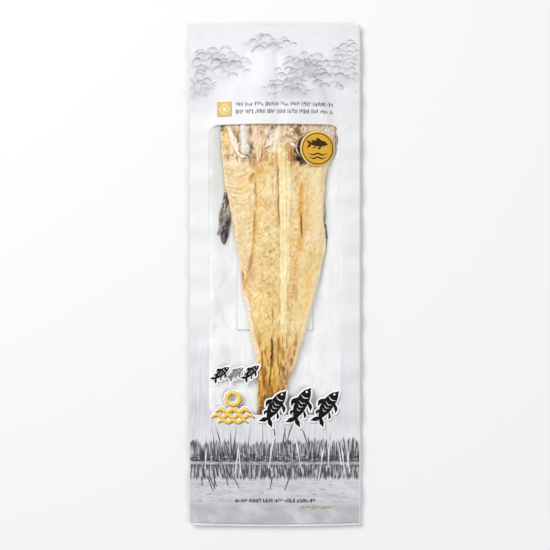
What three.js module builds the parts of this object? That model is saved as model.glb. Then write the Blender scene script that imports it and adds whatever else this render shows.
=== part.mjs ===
// A dried pollock, split open and pressed flat, in its sealed flat pack that lies on its back.
// Millimetres. +X to the pack's right, +Y to its top, +Z out of its front.
// The pack is one closed solid: the front film drawn down over the fish, a flat back, and a thin
// sealed edge all round, held a little above the table and slightly wavy.

import * as THREE from "three";

// The pack
const WIDTH = 200;
const LENGTH = 588;
const SIDE_SEAL = 10.5; // width of the sealed strip at each side
const TOP_SEAL = 9;
const BOTTOM_SEAL = 15;
const BOTTOM_BOW = 1.8; // how much further the lower edge hangs at its middle than at its corners
const SEAL_THICKNESS = 0.8;
const SEAL_HEIGHT = 4.4; // underside of the sealed edge above the table
const FILM_SPREAD = 2.4; // how steeply the front film falls away beside the fish

// Waves along the sealed edges: height, length along the edge, and where each one starts
const WAVES = [
  { height: 0.9, length: 51, start: 0.6 },
  { height: 0.5, length: 29, start: 2.1 },
];
const WAVE_REACH = 45; // how far in from the side the waves die out

// The back rests on the table inside this outline, given as parts of the space between the seals
const REST_WIDTH = 0.7;
const REST_LENGTH = 0.9;
const REST_ROUNDING = 0.3; // how much the outline narrows at its ends

// The fish under the film. Each station across it: place along the pack, left and right edge, the
// film's height over those edges, and over the thick back muscles beside the middle groove.
const STATIONS = [
  { y: -279, left: -30, right: 24, edge: 5.2, crown: 5.2 }, // bottom seal
  { y: -215, left: -26, right: 19, edge: 5.6, crown: 6.0 }, // empty foot of the pack
  { y: -160, left: -21, right: 12, edge: 6.4, crown: 7.6 }, // tail
  { y: -122, left: -20, right: 16, edge: 7.0, crown: 10.5 },
  { y: -84, left: -26, right: 30, edge: 6.8, crown: 12.5 },
  { y: -17, left: -37, right: 48, edge: 6.6, crown: 14.5 },
  { y: 53, left: -49, right: 58, edge: 7.0, crown: 16.5 }, // widest flesh
  { y: 112, left: -60, right: 59, edge: 7.6, crown: 18.5 },
  { y: 150, left: -63, right: 69, edge: 9.0, crown: 20.0 }, // collar
  { y: 212, left: -55, right: 59, edge: 10.0, crown: 21.5 }, // head
  { y: 256, left: -34, right: 36, edge: 7.5, crown: 14.0 },
  { y: 285, left: -30, right: 32, edge: 5.2, crown: 5.2 }, // top seal
];
const BELLY = 0.5; // height of the belly flaps, as a part of the crown's
const BELLY_REACH = 0.8; // where the slope from the back muscles down to the flaps starts, 1 at the edge
const BACK_REACH = 0.25; // where that slope ends
const GROOVE = { place: 0.515, width: 0.05, depth: 0.16 }; // the middle groove, as parts of the width

// Mesh cells
const FISH_COLUMNS = 24;
const FILM_COLUMNS = 6; // between the fish and the seal, each side
const ROWS = 84; // between the top and bottom seals
const BACK_STEP = 4; // edge points for each point of the resting outline

// A smooth step from 0 at t = 0 to 1 at t = 1.
const ease = (t) => THREE.MathUtils.smoothstep(t, 0, 1);

// The station values at y, on a curve through the stations that doesn't overshoot: each value's slope
// at a station is the harmonic mean of the slopes on its two sides, or 0 where they differ in sign.
function stationAt(y) {
  const last = STATIONS.length - 1;
  let i = STATIONS.findIndex((s) => s.y > y) - 1;
  if (i < 0) i = y < STATIONS[0].y ? 0 : last - 1;
  const a = STATIONS[i];
  const b = STATIONS[i + 1];
  const span = b.y - a.y;
  const t = THREE.MathUtils.clamp((y - a.y) / span, 0, 1);
  const at = {};
  for (const key of ["left", "right", "edge", "crown"]) {
    const chord = (j) => (STATIONS[j + 1][key] - STATIONS[j][key]) / (STATIONS[j + 1].y - STATIONS[j].y);
    const slope = (j) => {
      if (j === 0 || j === last) return 0;
      const before = chord(j - 1);
      const after = chord(j);
      return before * after <= 0 ? 0 : (2 * before * after) / (before + after);
    };
    const h10 = t * (1 - t) * (1 - t);
    const h11 = t * t * (t - 1);
    at[key] = a[key] + (b[key] - a[key]) * ease(t) + span * (h10 * slope(i) + h11 * slope(i + 1));
  }
  return at;
}

// Height of the sealed edge's upper face, with the waves that run along the sides.
function sealTop(x, y) {
  const side = Math.sign(x);
  const reach = ease(1 - (WIDTH / 2 - Math.abs(x)) / WAVE_REACH);
  const wave = WAVES.reduce(
    (sum, w) => sum + w.height * Math.sin((2 * Math.PI * y) / w.length + w.start * (2 + side)),
    0,
  );
  return SEAL_HEIGHT + SEAL_THICKNESS + reach * wave;
}

// Height of the front film above the table.
function front(x, y) {
  const at = stationAt(y);
  const across = (x - at.left) / (at.right - at.left); // 0 at the fish's left edge, 1 at its right
  const base = sealTop(x, y);
  if (across > 0 && across < 1) {
    const out = Math.abs(2 * across - 1);
    const flaps = BELLY * (1 - out ** 8);
    const backs = (1 - BELLY) * ease((BELLY_REACH - out) / (BELLY_REACH - BACK_REACH));
    const groove = GROOVE.depth * Math.exp(-(((across - GROOVE.place) / GROOVE.width) ** 2));
    return at.edge + (at.crown - at.edge) * (flaps + backs - groove);
  }
  const edge = across <= 0 ? at.left : at.right;
  const seal = Math.sign(edge) * (WIDTH / 2 - SIDE_SEAL);
  const away = THREE.MathUtils.clamp((x - edge) / (seal - edge), 0, 1);
  return base + (at.edge - SEAL_HEIGHT - SEAL_THICKNESS) * (1 - away) ** FILM_SPREAD;
}

// Columns across the pack at y: the side seals, the film beside the fish, and the fish.
function columnsAt(y) {
  const at = stationAt(y);
  const seal = WIDTH / 2 - SIDE_SEAL;
  const spread = (from, to, count) =>
    Array.from({ length: count }, (_, i) => THREE.MathUtils.lerp(from, to, i / count));
  return [
    -WIDTH / 2,
    ...spread(-seal, at.left, FILM_COLUMNS),
    ...spread(at.left, at.right, FISH_COLUMNS),
    ...spread(at.right, seal, FILM_COLUMNS),
    seal,
    WIDTH / 2,
  ];
}

// Rows up the pack: the bottom seal, even steps, and the top seal.
const inside = { bottom: -LENGTH / 2 + BOTTOM_SEAL, top: LENGTH / 2 - TOP_SEAL };
const rows = [
  -LENGTH / 2,
  ...Array.from({ length: ROWS + 1 }, (_, j) => THREE.MathUtils.lerp(inside.bottom, inside.top, j / ROWS)),
  LENGTH / 2,
];
const columnCount = columnsAt(0).length;

const points = [];
const faces = [];
const addPoint = (x, y, z) => points.push(new THREE.Vector3(x, y, z)) - 1;
const quad = (a, b, c, d) => faces.push([a, b, c], [a, c, d]);

// The front: a grid of points on the film. The lower edge is bowed.
const frontGrid = rows.map((row, j) =>
  columnsAt(row).map((x) => {
    const bow = j === 0 ? BOTTOM_BOW * ((2 * x) / WIDTH) ** 2 : 0;
    return addPoint(x, row + bow, front(x, row));
  }),
);

// The back of the sealed edge: the outermost two rings of the front, one thickness lower.
const isRim = (i, j) => i < 2 || j < 2 || i >= columnCount - 2 || j >= rows.length - 2;
const backGrid = frontGrid.map((line, j) =>
  line.map((p, i) => {
    const { x, y, z } = points[p];
    return isRim(i, j) ? addPoint(x, y, z - SEAL_THICKNESS) : null;
  }),
);

for (let j = 0; j + 1 < rows.length; j++) {
  for (let i = 0; i + 1 < columnCount; i++) {
    quad(frontGrid[j][i], frontGrid[j][i + 1], frontGrid[j + 1][i + 1], frontGrid[j + 1][i]);
    const sealed = i === 0 || j === 0 || i === columnCount - 2 || j === rows.length - 2;
    if (sealed) quad(backGrid[j][i], backGrid[j + 1][i], backGrid[j + 1][i + 1], backGrid[j][i + 1]);
  }
}

// The grid's points on the rectangle that is a number of cells in from its edge, anticlockwise.
function ring(grid, inset) {
  const right = columnCount - 1 - inset;
  const top = rows.length - 1 - inset;
  const line = [];
  for (let i = inset; i < right; i++) line.push(grid[inset][i]);
  for (let j = inset; j < top; j++) line.push(grid[j][right]);
  for (let i = right; i > inset; i--) line.push(grid[top][i]);
  for (let j = top; j > inset; j--) line.push(grid[j][inset]);
  return line;
}

// The cut edge all round.
const frontEdge = ring(frontGrid, 0);
const backEdge = ring(backGrid, 0);
frontEdge.forEach((p, k) => {
  const next = (k + 1) % frontEdge.length;
  quad(backEdge[k], backEdge[next], frontEdge[next], p);
});

// The back film slopes from the seals down to the outline that rests on the table, which is flat.
const sealLine = ring(backGrid, 1);
const restLine = [];
for (let k = 0; k < sealLine.length; k += BACK_STEP) {
  const { x, y } = points[sealLine[k]];
  const narrow = 1 - REST_ROUNDING * Math.abs((2 * y) / LENGTH) ** 6;
  restLine.push(addPoint(x * REST_WIDTH * narrow, y * REST_LENGTH, 0));
}
const middle = addPoint(0, 0, 0);
restLine.forEach((p, k) => {
  const nextRest = restLine[(k + 1) % restLine.length];
  for (let step = 0; step < BACK_STEP; step++) {
    const a = sealLine[k * BACK_STEP + step];
    const b = sealLine[(k * BACK_STEP + step + 1) % sealLine.length];
    faces.push([b, a, step < BACK_STEP / 2 ? p : nextRest]);
  }
  const between = sealLine[k * BACK_STEP + BACK_STEP / 2];
  faces.push([between, p, nextRest], [p, middle, nextRest]);
});

const geometry = new THREE.BufferGeometry().setFromPoints(points);
geometry.setIndex(faces.flat());
geometry.computeVertexNormals();

const pack = new THREE.Mesh(
  geometry,
  new THREE.MeshStandardMaterial({ color: 0xe6e6e8, roughness: 0.35, metalness: 0 }),
);
pack.name = "sealed_pack";

const part = new THREE.Group();
part.add(pack);

export default part;
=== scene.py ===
"""A dried pollock, split open and pressed flat, in its sealed and printed pack, which lies on its back.

Everything is in metres: +X to the pack's right, +Y to its top, +Z out of its front, the table at z = 0.
The front film is one function of x and y, and so are the back and the fish: each piece is a grid of
points on one of them.
"""

from types import SimpleNamespace

import bpy
import numpy as np
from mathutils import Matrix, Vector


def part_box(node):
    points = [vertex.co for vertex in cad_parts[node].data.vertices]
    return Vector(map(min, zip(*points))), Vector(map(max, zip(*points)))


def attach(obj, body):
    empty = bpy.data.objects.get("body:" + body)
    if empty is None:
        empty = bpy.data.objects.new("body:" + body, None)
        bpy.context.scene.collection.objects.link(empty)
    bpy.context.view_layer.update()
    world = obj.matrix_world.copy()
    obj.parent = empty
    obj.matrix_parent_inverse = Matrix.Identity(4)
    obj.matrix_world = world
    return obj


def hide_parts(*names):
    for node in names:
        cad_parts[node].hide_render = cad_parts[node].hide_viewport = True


bl_info = {
    "name": "Packed dried pollock",
    "version": (1, 0, 0),
    "blender": (4, 5, 0),
    "location": "View3D > Sidebar > Dried pollock",
    "description": "Builds a split and dried pollock in its sealed, printed pack",
    "category": "Add Mesh",
}

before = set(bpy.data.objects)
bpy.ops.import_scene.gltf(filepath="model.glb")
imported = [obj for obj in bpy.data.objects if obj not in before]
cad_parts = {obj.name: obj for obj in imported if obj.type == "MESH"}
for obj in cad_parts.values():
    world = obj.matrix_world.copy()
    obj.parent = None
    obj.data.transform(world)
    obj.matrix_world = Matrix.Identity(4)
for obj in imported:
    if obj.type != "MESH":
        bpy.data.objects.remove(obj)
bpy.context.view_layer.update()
PACK_LOW, PACK_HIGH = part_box("sealed_pack")
BODY = "root"

MM = 0.001

# ------------------------------ the pack's form

WIDTH = PACK_HIGH.x - PACK_LOW.x
LENGTH = PACK_HIGH.y - PACK_LOW.y
SIDE_SEAL = 10.5 * MM
TOP_SEAL = 9 * MM
BOTTOM_SEAL = 15 * MM
BOTTOM_BOW = 1.8 * MM  # how far the lower edge is drawn up at its corners
SEAL_TOP = 5.2 * MM  # upper face of the sealed edge above the table
FILM_SPREAD = 2.4  # the power by which the film falls beside the fish
WAVES = ((0.9 * MM, 51 * MM, 0.6), (0.5 * MM, 29 * MM, 2.1))  # height, length, start
WAVE_REACH = 45 * MM  # how far in from the sides the waves die out

# At places along the pack: the fish's left and right edge, and the film's height over those edges and
# over the back muscles (mm)
STATION_Y, STATION_LEFT, STATION_RIGHT, STATION_EDGE, STATION_CROWN = MM * np.array(
    [
        (-279, -30, 24, 5.2, 5.2),
        (-215, -26, 19, 5.6, 6.0),
        (-160, -21, 12, 6.4, 7.6),
        (-122, -20, 16, 7.0, 10.5),
        (-84, -26, 30, 6.8, 12.5),
        (-17, -37, 48, 6.6, 14.5),
        (53, -49, 58, 7.0, 16.5),
        (112, -60, 59, 7.6, 18.5),
        (150, -63, 69, 9.0, 20.0),
        (212, -55, 59, 10.0, 21.5),
        (256, -34, 36, 7.5, 14.0),
        (285, -30, 32, 5.2, 5.2),
    ]
).T
BELLY = 0.5  # the flaps' share of the crown's rise, the back muscles having the rest
BELLY_REACH, BACK_REACH = 0.8, 0.25  # from the middle, 1 at an edge: where the backs start and are full
GROOVE_PLACE, GROOVE_WIDTH, GROOVE_DEPTH = 0.515, 0.05, 0.16  # shares of the fish's width and the rise

CLING = 16 * MM  # how far in from the side seals the back film clings to the front
FALL_X, FALL_Y = 19 * MM, 28 * MM  # how far it takes down to the table from there, and at the ends

# The unprinted clear border outside the print
BORDER_LEFT, BORDER_RIGHT = 0.3 * MM, 1.5 * MM
BORDER_BOTTOM, BORDER_TOP = 2.3 * MM, 0.5 * MM

FILM_UNDER_PRINT = 0.2 * MM  # the clear film's depth below the print's face
BACK_UNDER_FILM = 0.1 * MM  # the gap between the two films at the seals
BACK_HEIGHT = 0.5 * MM  # the back film's inner face above the table

SLACK_SIDE, SLACK_FOOT, SLACK_HEAD = 62 * MM, -172 * MM, 240 * MM  # where the film starts to be slack
HELD_SIDE, HELD_FOOT, HELD_HEAD = 87 * MM, -279 * MM, 285 * MM  # where the seals hold it again
CREASE_X, CREASE_ENDS = 62.9 * MM, (255, 275)  # the ends in millimetres
SEAL_LINE = -274.6 * MM  # a line pressed into the foot's seal

SKIN_HEIGHT = 1.5 * MM  # the fish's skin side above the table, in its middle
SKIN_UNDER_EDGE = 5.6 * MM  # the skin is lifted at an edge by the film's height there less this
SKIN_LEAST_LIFT = 1.6 * MM
BACK_UNDER_SKIN = 0.8 * MM


def ease(t):
    """A smooth step: 0 below t = 0, 1 above t = 1, and 3t^2 - 2t^3 between."""
    t = np.clip(t, 0, 1)
    return t * t * (3 - 2 * t)


def cubic(places, values, slope, at):
    """The curve of cubic pieces that meets the values at their places, with the given slopes there:
    between two places it is v + (w - v)(3t^2 - 2t^3) + h(t(1 - t)^2 p + t^2(t - 1) q), with values v
    and w, slopes p and q, h the distance between the places and t the share of it passed."""
    i = np.clip(np.searchsorted(places, at, side="right") - 1, 0, len(places) - 2)
    span = places[i + 1] - places[i]
    t = np.clip((at - places[i]) / span, 0, 1)
    bend = t * (1 - t) ** 2 * slope[i] + t * t * (t - 1) * slope[i + 1]
    return values[i] + (values[i + 1] - values[i]) * ease(t) + span * bend


def curve(places, values, at):
    """The curve through values at places, which doesn't overshoot: its slope at a place is the
    harmonic mean of the chords on its two sides, or 0 at both ends and where they differ in sign."""
    places, values = np.asarray(places, float), np.asarray(values, float)
    chord = np.diff(values) / np.diff(places)
    before, after = chord[:-1], chord[1:]
    slope = np.zeros(len(values))
    same = before * after > 0
    slope[1:-1][same] = 2 * (before * after)[same] / (before + after)[same]
    return cubic(places, values, slope, at)


def smooth_curve(places, values, at):
    """A curve through values at places that may swing past them: its slope at each place is the
    chord between the place's two neighbours."""
    return cubic(places, values, np.gradient(values, places), at)


def near(x, centre, width):
    """1 on a line and falling away on both sides as exp(-d^2)."""
    return np.exp(-(((x - centre) / width) ** 2))


def step(y, low, high):
    """The ease from 0 at low to 1 at high, both in millimetres. High may be the smaller."""
    return ease((y - low * MM) / ((high - low) * MM))


def between(y, low, high, soft):
    """1 between low and high, with soft ends, all in millimetres."""
    return step(y, low, low + soft) * step(y, high, high - soft)


def line(points_mm):
    """A line up the pack as a function: x from y, through points given as (y, x) in millimetres."""
    y, x = MM * np.array(points_mm, float).T
    return lambda at: curve(y, x, at)


def bumps(x, y, size, seed):
    """Smooth random heights from -1 to 1.

    Each corner of a grid of cells of this size, in millimetres, one number or one along each axis,
    has a random height, and inside a cell the four are blended by the ease 6t^5 - 15t^4 + 10t^3 along
    both axes.
    """
    table = np.random.default_rng(seed).uniform(-1, 1, (256, 256))
    size_x, size_y = MM * np.broadcast_to(size, 2)
    u, v = x / size_x + 0.37 * seed, y / size_y + 0.61 * seed
    i, j = np.floor(u).astype(int), np.floor(v).astype(int)
    s, t = u - i, v - j
    s = s**3 * (s * (6 * s - 15) + 10)
    t = t**3 * (t * (6 * t - 15) + 10)
    low = table[i % 256, j % 256] * (1 - s) + table[(i + 1) % 256, j % 256] * s
    high = table[i % 256, (j + 1) % 256] * (1 - s) + table[(i + 1) % 256, (j + 1) % 256] * s
    return low * (1 - t) + high * t


def rough(x, y, size, seed, layers=3):
    """Bumps of several sizes (mm), each layer turned, of half the size and height of the last."""
    total = 0
    for k in range(layers):
        turn = 0.7 * k + 0.3
        u = x * np.cos(turn) - y * np.sin(turn)
        v = x * np.sin(turn) + y * np.cos(turn)
        total = total + bumps(u, v, np.multiply(size, 0.5**k), seed + 11 * k) / 2**k
    return total


def seal_top(x, y):
    """Upper face of the sealed edge: flat, with waves along the sides, each a sine of y, that die out
    inwards."""
    reach = ease(1 - (WIDTH / 2 - np.abs(x)) / WAVE_REACH)
    side = 2 + np.sign(x)
    wave = sum(h * np.sin(2 * np.pi * y / size + start * side) for h, size, start in WAVES)
    return SEAL_TOP + reach * wave


def pack_front(x, y):
    """The front film drawn over the fish.

    Over the fish it rises from the edge's height towards the crown's: over the flaps as 1 - d^8, with
    d from 0 in the middle to 1 at an edge, and over the back muscles by an ease, less a groove that
    falls away as exp(-d^2). Beside the fish it falls to the seal as a power of the distance left.
    """
    left, right = curve(STATION_Y, STATION_LEFT, y), curve(STATION_Y, STATION_RIGHT, y)
    edge, crown = curve(STATION_Y, STATION_EDGE, y), curve(STATION_Y, STATION_CROWN, y)
    across = (x - left) / (right - left)
    out = np.clip(np.abs(2 * across - 1), 0, 1)
    flaps = BELLY * (1 - out**8)
    backs = (1 - BELLY) * ease((BELLY_REACH - out) / (BELLY_REACH - BACK_REACH))
    groove = GROOVE_DEPTH * near(across, GROOVE_PLACE, GROOVE_WIDTH)
    over = edge + (crown - edge) * (flaps + backs - groove)
    side = np.where(across <= 0.5, left, right)
    seal = np.sign(side) * (WIDTH / 2 - SIDE_SEAL)
    away = np.clip((x - side) / (seal - side), 0, 1)
    beside = seal_top(x, y) + (edge - SEAL_TOP) * (1 - away) ** FILM_SPREAD
    return np.where((across > 0) & (across < 1), over, beside)


def wrinkles(x, y):
    """Small waves of the slack film: none over the fish, strongest beside the side seals and in the
    empty foot, and long across the pack where they run out from the seals. One upright crease stands
    near the top, and a line is pressed into the foot's seal, both falling away as exp(-d^2)."""
    out = np.abs(x)
    side = ease((out - SLACK_SIDE) / (24 * MM)) * (1 - 0.55 * ease((out - HELD_SIDE) / (4 * MM)))
    foot = 0.7 * ease((SLACK_FOOT - y) / (30 * MM)) * ease((y - HELD_FOOT) / (12 * MM))
    head = 0.5 * ease((y - SLACK_HEAD) / (25 * MM)) * ease((HELD_HEAD - y) / (12 * MM))
    slack = np.maximum(side, np.maximum(foot, head))
    folds = 0.55 * MM * bumps(x * 0.55, y, 15, 3) + 0.28 * MM * bumps(x * 0.8, y, 7.5, 8)
    crease = 0.35 * MM * near(x, CREASE_X, 1.3 * MM) * between(y, *CREASE_ENDS, 4)
    seal_line = SEAL_LINE + 0.02 * x + 0.6 * MM * np.sin(x / (21 * MM))
    pressed = 0.3 * MM * near(y, seal_line, 0.9 * MM)
    return slack * folds + crease - pressed


def film(x, y):
    """The printed film's outer face."""
    return pack_front(x, y) + wrinkles(x, y)


def under_face(x, y):
    """The fish's skin side: flat in the middle, and lifted as the cube of the distance across, so
    that it ends 3 to 4 mm below the film at the fish's edges."""
    left, right = FISH_LEFT(y), FISH_RIGHT(y)
    across = np.clip(2 * (x - left) / (right - left) - 1, -1, 1)
    edge = np.where(across < 0, pack_front(left, y), pack_front(right, y))
    lift = np.maximum(edge - SKIN_UNDER_EDGE, SKIN_LEAST_LIFT)
    return SKIN_HEIGHT + lift * np.abs(across) ** 3


def back_face(x, y):
    """Inner face of the back film: clinging to the front film from the seals to just past the
    window's sides, straight down from there to the table, where it lies flat under the fish and a
    little crumpled beside it. It is never higher than the fish's skin side allows, and beside the
    fish that limit rises by 1.5 for each unit of distance."""
    inwards_x = (WIDTH / 2 - SIDE_SEAL - np.abs(x) - CLING) / FALL_X
    end_seal = np.where(y > 0, TOP_SEAL, BOTTOM_SEAL)
    inwards_y = (LENGTH / 2 - end_seal - np.abs(y)) / FALL_Y
    raised = np.clip(1 - np.minimum(inwards_x, inwards_y), 0, 1)
    at_seal = film(x, y) - FILM_UNDER_PRINT - BACK_UNDER_FILM
    left, right = FISH_LEFT(y), FISH_RIGHT(y)
    beside = np.maximum(left - x, x - right)
    crumple = 0.5 * MM * (0.8 + 0.6 * rough(x, y, (15, 26), 9)) * ease(beside / (14 * MM))
    flat = BACK_HEIGHT + np.maximum(crumple, 0)
    z = flat + (np.minimum(at_seal, SEAL_TOP + 2.2 * MM) - flat) * raised
    under_fish = under_face(np.clip(x, left, right), y) - BACK_UNDER_SKIN
    from_ends = np.minimum(y - FISH_BOTTOM, FISH_TOP - y)
    limit = under_fish + 1.5 * np.maximum(beside - 1 * MM, 0) + 9 * MM * ease(-from_ends / (12 * MM))
    return np.minimum(z, limit)


# ------------------------------ meshes


def faces_of(rows, columns, wrap, first):
    """The quads of a grid of points numbered row by row from first, each anticlockwise."""
    index = first + np.arange(rows * columns).reshape(rows, columns)
    if wrap:
        index = np.append(index, index[:, :1], axis=1)
    corners = (index[:-1, :-1], index[:-1, 1:], index[1:, 1:], index[1:, :-1])
    return np.stack(corners, axis=-1).reshape(-1, 4)


def make_mesh(name, grids, wrap=False, caps=False, paint=None):
    """One mesh from grids of points, each an array of rows by columns by 3.

    wrap joins each row's last point to its first. caps closes the first and last row with a fan of
    triangles round a middle point. paint holds a linear colour for each point of each grid.
    """
    points, quads, fans, paints, first = [], [], [], [], 0
    for k, grid in enumerate(grids):
        rows, columns = grid.shape[:2]
        points.append(grid.reshape(-1, 3))
        quads.append(faces_of(rows, columns, wrap, first))
        paints.append(paint[k].reshape(-1, 3) if paint else None)
        after = first + rows * columns
        if caps:
            start = first + np.arange(columns)
            end = after - columns + np.arange(columns)
            points.append(np.stack([grid[0].mean(0), grid[-1].mean(0)]))
            paints.append(np.stack([paint[k][0].mean(0), paint[k][-1].mean(0)]) if paint else None)
            fans.append(np.stack([np.full(columns, after), np.roll(start, -1), start], axis=1))
            fans.append(np.stack([np.full(columns, after + 1), end, np.roll(end, -1)], axis=1))
            after += 2
        first = after
    points, quads = np.concatenate(points), np.concatenate(quads)
    fans = np.concatenate(fans) if fans else np.zeros((0, 3), int)
    mesh = bpy.data.meshes.new(name)
    mesh.vertices.add(len(points))
    mesh.vertices.foreach_set("co", points.astype(np.float32).ravel())
    mesh.loops.add(quads.size + fans.size)
    mesh.loops.foreach_set("vertex_index", np.concatenate([quads.ravel(), fans.ravel()]))
    mesh.polygons.add(len(quads) + len(fans))
    starts = np.concatenate([np.arange(len(quads)) * 4, quads.size + np.arange(len(fans)) * 3])
    mesh.polygons.foreach_set("loop_start", starts)
    mesh.update(calc_edges=True)
    mesh.validate()
    mesh.shade_smooth()
    if paint:
        colours = np.ones((len(points), 4), np.float32)
        colours[:, :3] = np.concatenate(paints)
        mesh.attributes.new("paint", "FLOAT_COLOR", "POINT").data.foreach_set("color", colours.ravel())
    return mesh


def add_to_scene(name, data):
    """A new object for a mesh, lamp or camera."""
    thing = bpy.data.objects.new(name, data)
    bpy.context.scene.collection.objects.link(thing)
    return thing


def add_piece(name, grids, finish, slot, replaces=False, thickness=0.0, **mesh_options):
    """Puts grids of points into the scene as one piece of the pack, with its finish and, for a film,
    its thickness below the given face."""
    piece = add_to_scene(name, make_mesh(name, grids, **mesh_options))
    piece.data.materials.append(finish)
    if thickness:
        solid = piece.modifiers.new("thickness", "SOLIDIFY")
        solid.thickness = thickness
        solid.offset = -1
    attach(piece, BODY)
    if replaces:
        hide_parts("sealed_pack")


def with_height(x, y, z):
    """Stacks three arrays of the same shape into points."""
    return np.stack(np.broadcast_arrays(x, y, z), axis=-1)


def grid_over(left, right, bottom, top, columns, rows):
    """Even x and y over a rectangle, as two arrays of rows by columns."""
    return np.meshgrid(np.linspace(left, right, columns), np.linspace(bottom, top, rows))


# ------------------------------ colours and node patterns


def linear(colour):
    """A colour as seen on a screen, 0 to 255, as the light it stands for, 0 to 1."""
    c = np.asarray(colour, float) / 255
    return np.where(c <= 0.04045, c / 12.92, ((c + 0.055) / 1.055) ** 2.4)


def rgba(colour):
    """A screen colour as a node's colour."""
    return (*linear(colour), 1.0)


def screen(colour):
    """A setting's colour, 0 to 1, as seen on a screen from 0 to 255."""
    return 255 * np.array(colour)


class Surface:
    """A surface's colours and its depth below a smooth face, built up in layers."""

    def __init__(self, x, colour):
        self.depth = 0 * x
        self.colour = np.zeros(x.shape + (3,)) + colour

    def lay(self, weight, colour, strength=1.0, deep=0.0):
        """One layer: at each point the colour moves towards the given one by strength times the
        weight, and the depth grows by deep millimetres times the weight."""
        share = np.clip(strength * weight, 0, 1)[..., None]
        self.colour = self.colour + (np.asarray(colour, float) - self.colour) * share
        self.depth = self.depth + deep * MM * weight

    def paint(self):
        """The colours as linear ones."""
        return linear(np.clip(self.colour, 0, 255))


class Value:
    """A number in a node tree. Sums and products of values add Math nodes, so that a pattern is
    written as its formula."""

    def __init__(self, tree, socket):
        self.tree, self.socket = tree, socket

    def op(self, kind, *others):
        """The result of a Math node of this kind on this value and the others."""
        node = self.tree.nodes.new("ShaderNodeMath")
        node.operation = kind
        for slot, other in zip(node.inputs, (self, *others)):
            if isinstance(other, Value):
                self.tree.links.new(other.socket, slot)
            else:
                slot.default_value = other
        return Value(self.tree, node.outputs[0])

    def __add__(self, other):
        return self.op("ADD", other)

    def __sub__(self, other):
        return self.op("SUBTRACT", other)

    def __mul__(self, other):
        return self.op("MULTIPLY", other)

    def __truediv__(self, other):
        return self.op("DIVIDE", other)

    def below(self, other=0.0):
        """other less this value."""
        return (self * -1.0) + other

    def step(self, low, high):
        """A smooth step from 0 at low to 1 at high, or from 1 to 0 where high is the smaller."""
        node = self.tree.nodes.new("ShaderNodeMapRange")
        node.interpolation_type = "SMOOTHSTEP"
        self.tree.links.new(self.socket, node.inputs["Value"])
        down = high < low
        node.inputs["From Min"].default_value = high if down else low
        node.inputs["From Max"].default_value = low if down else high
        node.inputs["To Min"].default_value = 1.0 if down else 0.0
        node.inputs["To Max"].default_value = 0.0 if down else 1.0
        return Value(self.tree, node.outputs["Result"])


def new_material(name, roughness, specular=0.5):
    """A material with its Principled shader, as (material, tree, shader)."""
    finish = bpy.data.materials.new(name)
    finish.use_nodes = True
    tree = finish.node_tree
    shader = tree.nodes["Principled BSDF"]
    shader.inputs["Roughness"].default_value = roughness
    shader.inputs["Specular IOR Level"].default_value = specular
    return finish, tree, shader


def place(tree):
    """x and y of a point of the piece."""
    coordinates = tree.nodes.new("ShaderNodeTexCoord")
    split = tree.nodes.new("ShaderNodeSeparateXYZ")
    tree.links.new(coordinates.outputs["Object"], split.inputs[0])
    return Value(tree, split.outputs["X"]), Value(tree, split.outputs["Y"])


def cloudy(x, y, size_x, size_y, seed, detail=2.0):
    """Soft noise of about 0 to 1 round 0.5, of x and y over the given sizes in millimetres."""
    tree = x.tree
    join = tree.nodes.new("ShaderNodeCombineXYZ")
    for value, size, slot in ((x, size_x, 0), (y, size_y, 1)):
        scaled = value / (size * MM) + 17.3 * seed
        tree.links.new(scaled.socket, join.inputs[slot])
    noise = tree.nodes.new("ShaderNodeTexNoise")
    noise.noise_dimensions = "2D"
    noise.inputs["Scale"].default_value = 1.0
    noise.inputs["Detail"].default_value = detail
    tree.links.new(join.outputs[0], noise.inputs["Vector"])
    return Value(tree, noise.outputs["Fac"])


def lay_colours(shader, ground, layers):
    """Gives the shader the ground colour with other colours laid over it, each by its own mask."""
    tree, below = shader.id_data, ground
    for mask, colour in layers:
        mix = tree.nodes.new("ShaderNodeMix")
        mix.data_type = "RGBA"
        tree.links.new(mask.socket, mix.inputs[0])
        for slot, value in ((mix.inputs[6], below), (mix.inputs[7], colour)):
            if isinstance(value, bpy.types.NodeSocket):
                tree.links.new(value, slot)
            else:
                slot.default_value = rgba(value)
        below = mix.outputs[2]
    tree.links.new(below, shader.inputs["Base Color"])


def bump_from(shader, height, distance):
    """Gives the shader a bump whose height is the value times the distance in millimetres."""
    tree = shader.id_data
    bump = tree.nodes.new("ShaderNodeBump")
    bump.inputs["Distance"].default_value = distance * MM
    tree.links.new(height.socket, bump.inputs["Height"])
    tree.links.new(bump.outputs["Normal"], shader.inputs["Normal"])


def kept_paint(tree):
    """The colour kept at the piece's points."""
    node = tree.nodes.new("ShaderNodeAttribute")
    node.attribute_name = "paint"
    return node.outputs["Color"]


# ------------------------------ finishes


def clear_film_finish(gloss_roughness):
    """Thin clear film: see-through, with a gloss of f + (1 - f) s^5, where f is the share mirrored
    straight on and s is 1 at a glancing angle."""
    finish = bpy.data.materials.new("clear_film")
    finish.use_nodes = True
    tree = finish.node_tree
    tree.nodes.remove(tree.nodes["Principled BSDF"])
    clear = tree.nodes.new("ShaderNodeBsdfTransparent")
    gloss = tree.nodes.new("ShaderNodeBsdfGlossy")
    gloss.inputs["Roughness"].default_value = gloss_roughness
    slant = tree.nodes.new("ShaderNodeLayerWeight")
    straight_on = 0.018
    mirrored = Value(tree, slant.outputs["Facing"]).op("POWER", 5.0) * (1 - straight_on) + straight_on
    mix = tree.nodes.new("ShaderNodeMixShader")
    tree.links.new(mirrored.socket, mix.inputs[0])
    tree.links.new(clear.outputs[0], mix.inputs[1])
    tree.links.new(gloss.outputs[0], mix.inputs[2])
    tree.links.new(mix.outputs[0], tree.nodes["Material Output"].inputs["Surface"])
    return finish


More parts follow.
